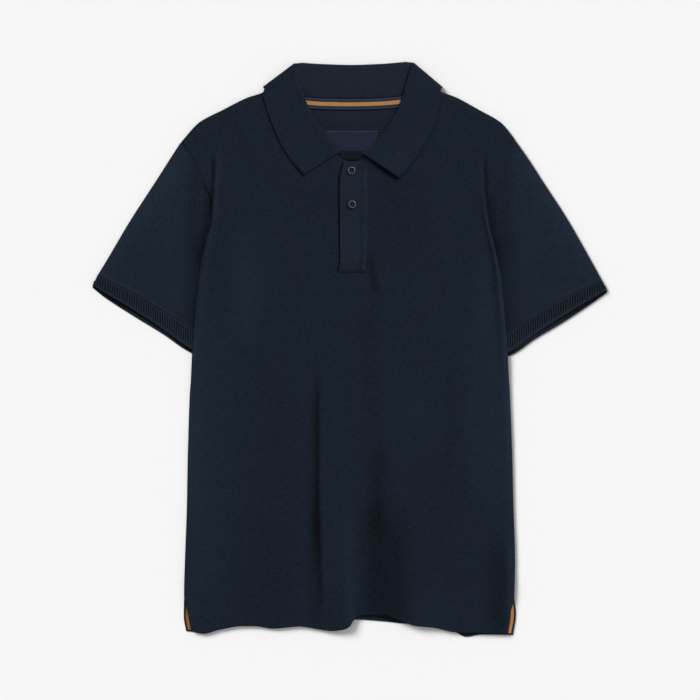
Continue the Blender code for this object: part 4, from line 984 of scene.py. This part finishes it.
def collarSections():
    # From the right front end over both peaks to the left front end: fold, leaf edge, neck seam,
    # the way out at a peak, degrees turned from front to back, and the leaf's lift.
    neck = pointsOf(frontNeck, "x y")
    centre = np.array(collarLook["neckCentre"])
    zero = np.zeros(2)

    def frontPart(rows, neckPoints):
        path = Track(pointsOf(rows, "foldX foldY leafX leafY lift"))
        seam = Track(neckPoints + unit(centre - neckPoints) * cloth["neckSeam"])
        for t in [0.0, 0.006, *np.linspace(0.02, 1.0, 30)]:
            row = path.at(t)
            yield row[0:2], row[2:4], seam.at(t), zero, 0.0, row[4]

    def peakPart(side, angles):
        fold, leaf, seam = (np.array(p) for p in peaks[side])
        along = unit(leaf - fold)
        away = np.array([-along[1], along[0]])
        away = -away if away[1] < 0 else away
        inset = away * (collarLook["leaf"] + cloth["wall"] / 2)
        seam = fold + along * ((seam - fold) @ along)
        for angle in angles:  # past the turn the sections come back out, level with the fold
            shift = inset * (1 - 0.9 * smooth(90.0, 180.0, angle))
            yield fold - shift, leaf - shift, seam - shift, away, angle, 0.0

    halfTurn = np.linspace(0, 180, 13)
    sections = list(frontPart(rightCollar, neck[:6][::-1]))
    sections += peakPart("right", halfTurn)
    path = Track(pointsOf(backCollar, "foldX foldY leafX leafY"))
    for t in np.linspace(0, 1, 31):
        row = path.at(t)
        seam = backNeckLine.at(blend(*collarLook["neckShares"], t)) + (0.0, cloth["neckSeam"])
        sections.append((row[:2], row[2:], seam, zero, 180.0, 0.0))
    sections += peakPart("left", halfTurn[::-1])
    sections += reversed(list(frontPart(leftCollar, neck[-6:])))
    return sections


def makeCollar():
    outer, inner, uv = [], [], []
    u, before = 0.0, None
    for fold, leaf, seam, away, angle, lift in collarSections():
        turn = math.radians(angle)
        stack = np.array([away[0] * math.sin(turn), away[1] * math.sin(turn), math.cos(turn)])
        frontShare, backShare = max(math.cos(turn), 0.0), max(-math.cos(turn), 0.0)
        leafWay, seamWay = unit(leaf - fold), unit(seam - fold)
        noseWay = unit(leafWay + seamWay)

        def radii(distance):
            opening = collarLook["opening"] * bell(distance, collarLook["reach"])
            return collarLook["stand"] - opening * backShare, collarLook["leaf"] + opening * frontShare

        standRadius, leafRadius = radii(0.0)
        nose, middle = (leafRadius - standRadius) / 2, (leafRadius + standRadius) / 2
        first = cloth["wall"] / 2 + nose
        standLength, leafLength = np.linalg.norm(seam - fold), np.linalg.norm(leaf - fold)
        rows = []  # plan place, radius, way across, angle of the outside, lift
        for t in collarLook["standShares"]:
            distance = blend(first, standLength, t)
            full = collarLook["backRise"] * backShare * math.sin(math.pi * t) ** 0.7
            rows.append((fold + seamWay * distance, radii(distance - first)[0], seamWay, -90.0, full))
        for a in np.linspace(-90, 90, 9):
            reach = first - nose * math.cos(math.radians(a))
            rows.append((fold + noseWay * reach, middle + nose * math.sin(math.radians(a)), noseWay, a, 0.0))
        for t in collarLook["leafShares"]:
            distance = blend(first, leafLength, t)
            spot, lifted = fold + leafWay * distance, lift * t * (2 - t)
            rows.append((spot, radii(distance - first)[1], leafWay, 90.0, lifted))
        outerRow, innerRow, along = [], [], [0.0]
        for spot, radius, way, a, raised in rows:
            point = np.array([spot[0], spot[1], collarLook["axis"]]) + stack * radius
            point[2] += raised
            out = math.radians(a)
            normal = np.array([way[0], way[1], 0.0]) * -math.cos(out) + stack * math.sin(out)
            outerRow.append(point + normal * cloth["wall"] / 2)
            innerRow.append(point - normal * cloth["wall"] / 2)
            if len(outerRow) > 1:
                along.append(along[-1] + np.linalg.norm(outerRow[-1] - outerRow[-2]))
        now = outerRow[len(outerRow) // 2]
        u += 0.0 if before is None else np.linalg.norm(now - before)
        before = now
        outer.append(outerRow)
        inner.append(innerRow)
        uv.append([(u, v) for v in along])
    outer, inner, uv = np.array(outer), np.array(inner), np.array(uv)
    return clothWall("collarKnit", outer, inner, uv, [finishes["collarKnit"], finishes["standKnit"]],
                     finishOf=lambda j, i: int(i < 12))


collar = makeCollar()
collarSurface = Surface(collar)


def leafStitchPath(rows):
    # Inside the leaf's front edge, round its point and along its outer edge.
    leaf, folds = pointsOf(rows, "leafX leafY"), pointsOf(rows, "foldX foldY")
    inset, fold, tip = collarLook["stitchInset"], folds[0], leaf[0]
    edge = Track(leaf).at(np.linspace(0, 1, 60))

    def inward(a, b):
        way = unit(b - a)
        side = np.array([-way[1], way[0]])
        return side if side @ (folds.mean(axis=0) - (a + b) / 2) > 0 else -side

    frontIn, frontWay = inward(fold, tip) * inset, unit(tip - fold)
    start, end = fold + frontIn + frontWay * collarLook["stitchStart"], tip + frontIn - frontWay * inset
    outerLine = [a + inward(a, b) * inset for a, b in zip(edge, edge[1:])]
    outerLine = [p for p in outerLine if (p - tip) @ frontIn > inset * inset]
    return np.array([blend(start, end, t) for t in np.linspace(0, 1, 14)] + outerLine)


leafPaths = [collarSurface.lay(leafStitchPath(rows), cloth["thread"]) for rows in collarRows.values()]
leafStitches = stitches("collarStitches", leafPaths)
tabLook = {"rows": ((261.2, -14.2, 18.6, 0.8), (258.0, -13.2, 15.3, 0.0)), "gap": 0.5}  # y, ends, dip


def makeTab():
    share = np.linspace(0, 1, 31)
    top, waist = [np.column_stack([blend(right, left, share), y - dip * np.sin(math.pi * share)])
                  for y, right, left, dip in tabLook["rows"]]
    foot = np.column_stack([waist[:, 0], Outline(frontNeck).height(waist[:, 0]) + tabLook["gap"]])
    plan = [blend(top, waist, t) for t in (0.0, 0.2, 0.5)]
    plan += [blend(waist, foot, t) for t in np.linspace(0, 1, 7)]
    under = [np.column_stack([row, np.full(len(row), frontLook["neck"])]) for row in plan]
    return slab("neckBandEnd", np.array(under), cloth["wall"], [finishes["bandEnd"]])


tab = makeTab()
print("collar made")


placketLook = {"underShows": 2.6, "tuckedIn": 0.65, "underEndsIn": 9.0, "boxStitchY": 111.7,
               "boxMiddleY": 106.6, "footStitchY": 103.2, "seamStitchIn": 3.9, "freeStitchIn": 2.2,
               "stitchX": (-11.0, 19.0), "stitchY": (243.0, 104.0), "edgeWall": 0.35, "width": 36,
               "length": 145, "nearEnds": (0.5, 1.3, 2.2, 3.4, 5.0, 7.0, 9.0, 9.9, 10.5, 11.1, 11.8, 12.8),
               "flat": (37, 146), "area": 5200}


def placketEdge(name, y):
    return read(-placketEdges["y"], placketEdges[name], -y)


def placketPlan(shows, shorter):  # the hidden side of the under placket ends well inside the seam
    top, bottom = placketEdges["y"][0] - shorter, placketEdges["y"][-1] + 2 * shorter
    plan = []
    for down in lines(placketLook["length"], 3.0, placketLook["nearEnds"]):
        y = blend(top, bottom, down)
        free = placketEdge("freeX", y) - shows * (1.0 - placketLook["tuckedIn"] * down)
        seam = placketEdge("seamX", y) - (placketLook["underEndsIn"] if shows else 0.0)
        plan.append([(blend(free, seam, t), y) for t in lines(placketLook["width"], 1.5, (0.5, 1.0))])
    return np.array(plan)


def makePlackets():
    underPlan = placketPlan(placketLook["underShows"], 1.5)
    under = slab("underPlacket", frontSurface.lay(underPlan, cloth["seam"]), cloth["trimWall"],
                 [finishes["shadedUnderFacing"]])
    top = frontSurface.lay(placketPlan(0.0, 0.0), cloth["seam"])
    x, y = top[..., 0], top[..., 1]
    fromSeam, fromFree = placketEdge("seamX", y) - x, x - placketEdge("freeX", y)
    fromEnd = y - placketEdges["y"][-1]
    full = cloth["seam"] + cloth["trimWall"]
    groove, box = bell(y - placketLook["boxStitchY"], 0.8), bell(y - placketLook["boxMiddleY"], 3.2, 4)
    ridge = bell(fromSeam - 2.6, 1.9)  # the turned seam allowance
    top[..., 2] += full * smooth(0.5, 8.5, fromSeam) * smooth(0.5, 9.0, fromEnd)
    top[..., 2] += 0.30 * ridge + 0.25 * bell(fromFree - 1.0, 1.2)
    top[..., 2] += 0.25 * box - 0.35 * groove  # the box at its foot
    thick = blend(placketLook["edgeWall"], cloth["wall"], smooth(0.0, 3.2, np.minimum(fromSeam, fromEnd)))
    outer = top + np.dstack([0 * x, 0 * x, thick])
    # Painted shading: lighter on the seam ridge and along the free edge, darker in the box's groove and over
    # the seam side, and a painted shadow of the collar leaf at the top corner.
    paintedShading = 0.16 * ridge - 0.4 * groove + 0.12 * bell(fromFree - 1.2, 1.0)
    paintedShading -= 0.20 * (1 - smooth(8.0, 13.0, fromSeam)) + 0.35 * smooth(9.0, 20.0, x) * smooth(233.0, 246.0, y)
    return under, clothWall("frontPlacket", outer, top, top[..., :2], [finishes["placketPique"]], paintedShading=paintedShading)


underPlacket, placket = makePlackets()
placketSurface = Surface(placket, front)


def placketStitchPaths():
    y = np.linspace(*placketLook["stitchY"], 60)
    rows = [np.column_stack([placketEdge("seamX", y) - placketLook["seamStitchIn"], y]),
            np.column_stack([placketEdge("freeX", y) + placketLook["freeStitchIn"], y])]
    for level in (placketLook["boxStitchY"], placketLook["footStitchY"]):
        x = np.linspace(*placketLook["stitchX"], 16)
        rows.append(np.column_stack([x, np.full_like(x, level)]))
    return [placketSurface.lay(row, cloth["tightThread"]) for row in rows]


placketStitches = stitches("placketStitches", placketStitchPaths(), pitch=2.6, length=2.0)
buttonLook = {"centres": ((2.1, 234.6), (2.8, 190.3)), "diameter": 10.0, "thickness": 2.3, "hole": 0.85,
              "holeSpread": 1.25, "segments": 48, "above": 0.15, "highlightRows": (5, 6), "threadRise": 0.25,
              "dish": 0.50, "thread": 0.56,  # heights as shares
              "profile": ((0.62, 0.0), (0.86, 0.10), (0.97, 0.30), (1.0, 0.55), (0.985, 0.74), (0.94, 0.90),
                          (0.87, 0.99), (0.79, 1.0), (0.71, 0.93), (0.65, 0.78), (0.58, 0.62), (0.46, 0.54))}


def makeButton(name, centre):
    radius, segments, profile = buttonLook["diameter"] / 2, buttonLook["segments"], buttonLook["profile"]
    tall, rings = buttonLook["thickness"], len(profile)

    def around(reach, count):
        turns = [math.tau * n / count for n in range(count)]
        return [(centre[0] + radius * reach * math.cos(a), centre[1] + radius * reach * math.sin(a))
                for a in turns]

    foot = max(placketSurface.height(*spot) for spot in around(1.0, 12)) + buttonLook["above"]
    spots = [(*spot, foot + tall * height) for reach, height in profile for spot in around(reach, segments)]
    spots += [(*centre, foot), (*centre, foot + tall * buttonLook["dish"])]
    faces = [[j * segments + n, j * segments + (n + 1) % segments,
              (j + 1) * segments + (n + 1) % segments, (j + 1) * segments + n]
             for j in range(rings - 1) for n in range(segments)]
    for n in range(segments):
        k, top = (n + 1) % segments, (rings - 1) * segments
        faces += [[rings * segments, k, n], [rings * segments + 1, top + n, top + k]]
    corners = [spots[n][:2] for face in faces for n in face]
    # the rim's faces take the painted highlight
    highlightFaces = [int(j in buttonLook["highlightRows"]) for j in range(rings - 1) for _ in range(segments)]
    highlightFaces += [0] * (2 * segments)
    disc = meshObject(name, spots, faces, corners, [finishes["button"], finishes["buttonRimHighlight"]], highlightFaces)
    spread = (-buttonLook["holeSpread"], buttonLook["holeSpread"])
    holes = np.array([(centre[0] + dx, centre[1] + dy) for dx in spread for dy in spread])
    for x, y in holes:
        bpy.ops.mesh.primitive_cylinder_add(vertices=16, radius=buttonLook["hole"] * mm, depth=8 * mm,
                                            location=(x * mm, y * mm, (foot + 1) * mm))
        drill = bpy.context.object
        cut = disc.modifiers.new("hole", "BOOLEAN")
        cut.operation, cut.solver, cut.object = "DIFFERENCE", "EXACT", drill
        applyModifiers(disc)
        bpy.data.objects.remove(drill)
    top = foot + tall * buttonLook["thread"]
    paths = [[(*a, top), (*((a + b) / 2), top + buttonLook["threadRise"]), (*b, top)]
             for a, b in (holes[:2], holes[2:])]
    thread = alongLines(name + "Thread", ridgeRow, paths,
                        {"Width": 0.9 * mm, "Height": 0.5 * mm, "Thread": finishes["buttonThread"]})
    for piece in (disc, thread):
        rides(piece)
    return disc


for number, centre in enumerate(buttonLook["centres"], 1):
    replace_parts(makeButton(f"shirtButton_{number}", centre), f"button_{number}")
print("placket and buttons made")


trimLook = {"tapeWidth": 14.0, "tapeOver": 0.6, "tapeEnds": (-87.0, 87.0), "tapeStitches": (0.10, 0.86),
            "label": (69.0, 42.0), "labelTop": (1.5, 287.8),
            "ventWidth": 9.0, "ventLength": 37.0, "ventInset": 2.7, "ventUp": 2.0,
            "ventWeave": {"right": ("shadedVentTape", 0.66), "left": ("tape", 0.82)}}  # finish, share of the weave


def makeNeckTape():
    x = np.linspace(*trimLook["tapeEnds"], 70)
    here = np.column_stack([x, backNeckLine.height(x)])
    along = unit(np.column_stack([x + 2, backNeckLine.height(x + 2)]) - here)
    inward = np.column_stack([along[:, 1], -along[:, 0]])

    def laid(shares, above):  # rows of the tape, by how far across it they are
        reach = [blend(-trimLook["tapeOver"], trimLook["tapeWidth"], t) for t in shares]
        rows = np.array([here + inward * distance for distance in reach])
        return np.dstack([rows, backUnder(rows[..., 0], rows[..., 1]) + layer + above])

    shares = lines(16, 1.6, (0.4,))
    under = laid(shares, 0.0)
    uv = np.dstack([under[..., 0], np.repeat(shares[:, None], len(x), axis=1)])
    tape = slab("neckTape", under, cloth["trimWall"], [finishes["tape"]], uv=uv)
    tops = laid(trimLook["tapeStitches"], cloth["trimWall"] + cloth["thread"])
    return tape, stitches("neckTapeStitches", tops, "blueThread", pitch=2.4, length=1.5, width=0.6)


neckTape, neckTapeStitches = makeNeckTape()


def makeLabel():
    width, height = trimLook["label"]
    middle, top = trimLook["labelTop"]
    plan = [[(middle + width * (t - 0.5), top - height * s) for t in lines(width, 4.0)]
            for s in lines(height, 4.0)]
    under = backSurface.lay(plan, cloth["seam"])
    label = slab("neckLabel", under, cloth["trimWall"], [finishes["labelTwill"]])
    x = np.linspace(middle - width / 2 + 2, middle + width / 2 - 2, 30)
    row = np.column_stack([x, np.full_like(x, top - 2.0)])
    line = backSurface.lay(row, cloth["seam"] + cloth["trimWall"] + cloth["thread"])
    return label, stitches("labelStitches", [line], "blueThread", pitch=2.8, length=1.6, width=0.5)


label, labelStitches = makeLabel()


def makeVentTape(side):
    inward = 1.0 if side == "right" else -1.0
    length, width, inset = (trimLook[name] for name in ("ventLength", "ventWidth", "ventInset"))
    span = (armhole["rightY"][0] + armhole["leftY"][0] - backSides["rightY"][-1] - backSides["leftY"][-1]) / 2
    shares = lines(9, 1.2, (0.4,))[::int(inward)]
    finish, woven = trimLook["ventWeave"][side]
    under, uv = [], []
    for t in lines(length, 2.0, (0.5,)):
        x, y = backEdges.edge(side)(1.0 - (trimLook["ventUp"] + length * (1 - t)) / span)
        under.append([(x + inward * (inset + width * s), y, layer) for s in shares])
        uv.append([(y, tapeLook["stripe"][0] + woven * s) for s in shares])
    return slab("shadedVentTape_" + side, np.array(under), cloth["trimWall"], [finishes[finish]], uv=np.array(uv))


ventTapes = {side: makeVentTape(side) for side in sides}


def hemStitchPath():
    x = np.linspace(*frontLook["hemStitchX"], 160)
    row = np.column_stack([x, Outline(frontHem).height(x) + frontLook["hemStitch"]])
    return frontSurface.lay(row, cloth["tightThread"])


def sleeveStitchPath(side):
    seam = sideTrack(cuffSeam, side).at(np.linspace(0.03, 0.97, 60))
    return Surface(sleeves[side]).lay(seam + (0.0, sleeveLook["stitchInset"]), cloth["tightThread"])


seamLook = {"width": 2.2, "height": 1.5, "inset": 0.5, "ringStep": 4.0, "low": 2.25, "sunk": 0.50,
            "shownY": (200.0, 216.0)}


def seamPaths(side):  # the armhole, and round the sleeve where the cuff is sewn on
    hole = armholeAt(side, cloth["armholeSeam"] / 2, np.linspace(0.004, 1, 60))
    length, inset = sideTrack(cuffSeam, side).length, seamLook["inset"]
    shares = ringShares(length, seamLook["ringStep"])
    ring = flatRing(cuffLook["loft"] - 2 * inset, 0.0, length - 2 * inset, shares)
    turns = cuffPoint(side, ring[:, 0] + inset, ring[:, 1] + inset, -0.01)
    shown = smooth(*seamLook["shownY"], hole[:, 1])
    level = blend(seamLook["low"], seamTop(hole[:, 1]) - seamLook["sunk"], shown)
    return [np.column_stack([hole, level]), np.concatenate([turns, turns[:1]])]


seamRidge = {"Width": seamLook["width"] * mm, "Height": seamLook["height"] * mm,
             "Thread": finishes["placketPique"]}
seams = {side: rides(alongLines("seams_" + side, ridgeRow, seamPaths(side), seamRidge))
         for side in sides}
hemStitches = stitches("hemStitches", [hemStitchPath()], "bodyPique", 3.0, 2.2, 0.4, 0.2)
sleeveStitches = {side: stitches("sleeveStitches_" + side, [sleeveStitchPath(side)],
                                 pitch=2.6, length=2.0) for side in sides}
print("stitches made")

# Each piece rides on the root and hides the node that it stands for; its slot, flat size and what it rests on
# are given with it.
place(back, "back", "pique", backLook["flat"], area=backLook["area"])
place(front, "front", "pique", frontLook["flat"], ["backPanel"], frontLook["area"], [hemStitches])
for side in sides:
    place(sleeves[side], "sleeve_" + side, "pique", sleeveLook["flat"], area=sleeveLook["area"],
          extra=[sleeveStitches[side], seams[side]])
    place(cuffs[side][0], "cuff_" + side, "rib_knit", cuffLook["flat"], area=cuffLook["area"],
          extra=[cuffs[side][1]])
    place(ventTapes[side], "vent_tape_" + side, "tape", (10, 37), ["backPanel"])
place(collar, "collar", "collar_knit", collarLook["flat"], ["frontPanel"], collarLook["area"], [leafStitches])
place(tab, "collar_tab", "trim", (28, 10), ["frontPanel"])
place(underPlacket, "placket_under", "trim", (37, 142), ["frontPanel"])
place(placket, "placket", "pique", placketLook["flat"], ["underPlacket"], placketLook["area"],
      [placketStitches])
place(neckTape, "neck_tape", "tape", (176, 14.6), ["backPanel"], None, [neckTapeStitches])
place(label, "label", "label", trimLook["label"], ["backPanel"], None, [labelStitches])


studio = {"floor": 0.80, "sky": 0.50}
lamps = {  # one softbox for the shirt and one for what it lies on: strength, softness, elevation, azimuth
    "shirtSoftbox": {"strength": 3.19, "softness": 22.0, "elevation": 40.0, "azimuth": 52.0},
    "floorSoftbox": {"strength": 4.10, "softness": 26.0, "elevation": 30.0, "azimuth": 140.0}}


def makeFloor():
    bpy.ops.mesh.primitive_plane_add(size=8.0, location=(0, 0, -0.0003))
    floor = bpy.context.object
    floor.name = "floor"
    look = Finish("paleFloor", {"Roughness": 0.9, "Specular IOR Level": 0.0})
    grain = look.noise(look.node("TexCoord", {}, {}, output=3), 60.0)
    shade = (studio["floor"],) * 3
    look.feed("Base Color", look.mix(grain, shaded(shade, 0.995), shaded(shade, 1.005)))
    floor.data.materials.append(look.material)
    return floor


def makeLights(floor):
    world = bpy.data.worlds.new("studio")
    world.use_nodes = True
    sky = world.node_tree.nodes["Background"].inputs
    sky["Color"].default_value, sky["Strength"].default_value = (1, 1, 1, 1), studio["sky"]
    bpy.context.scene.world = world
    for name, look in lamps.items():
        sun = bpy.data.lights.new(name, "SUN")
        sun.energy, sun.angle = look["strength"], math.radians(look["softness"])
        lamp = addObject(name, sun)
        up, turn = math.radians(look["elevation"]), math.radians(look["azimuth"])
        way = Vector((math.cos(up) * math.cos(turn), math.cos(up) * math.sin(turn), math.sin(up)))
        lamp.rotation_euler = way.to_track_quat("Z", "Y").to_euler()
        lit = bpy.data.collections.new(name + "Lights")
        lit.objects.link(floor)
        lamp.light_linking.receiver_collection = lit
        state = "INCLUDE" if name == "floorSoftbox" else "EXCLUDE"
        lit.collection_objects[0].light_linking.link_state = state


def makeCamera():
    look = {"height": 3.4, "across": 0.9198, "y": -0.00066, "sensor": 36.0}
    camera = bpy.data.cameras.new("camera")
    camera.sensor_width = look["sensor"]
    camera.lens = look["sensor"] * look["height"] / look["across"]
    made = addObject("camera", camera)
    made.location = (0.0, look["y"], look["height"])
    bpy.context.scene.camera = made


makeLights(makeFloor())
makeCamera()
bpy.context.scene.view_settings.view_transform = "Standard"
print("studio made")
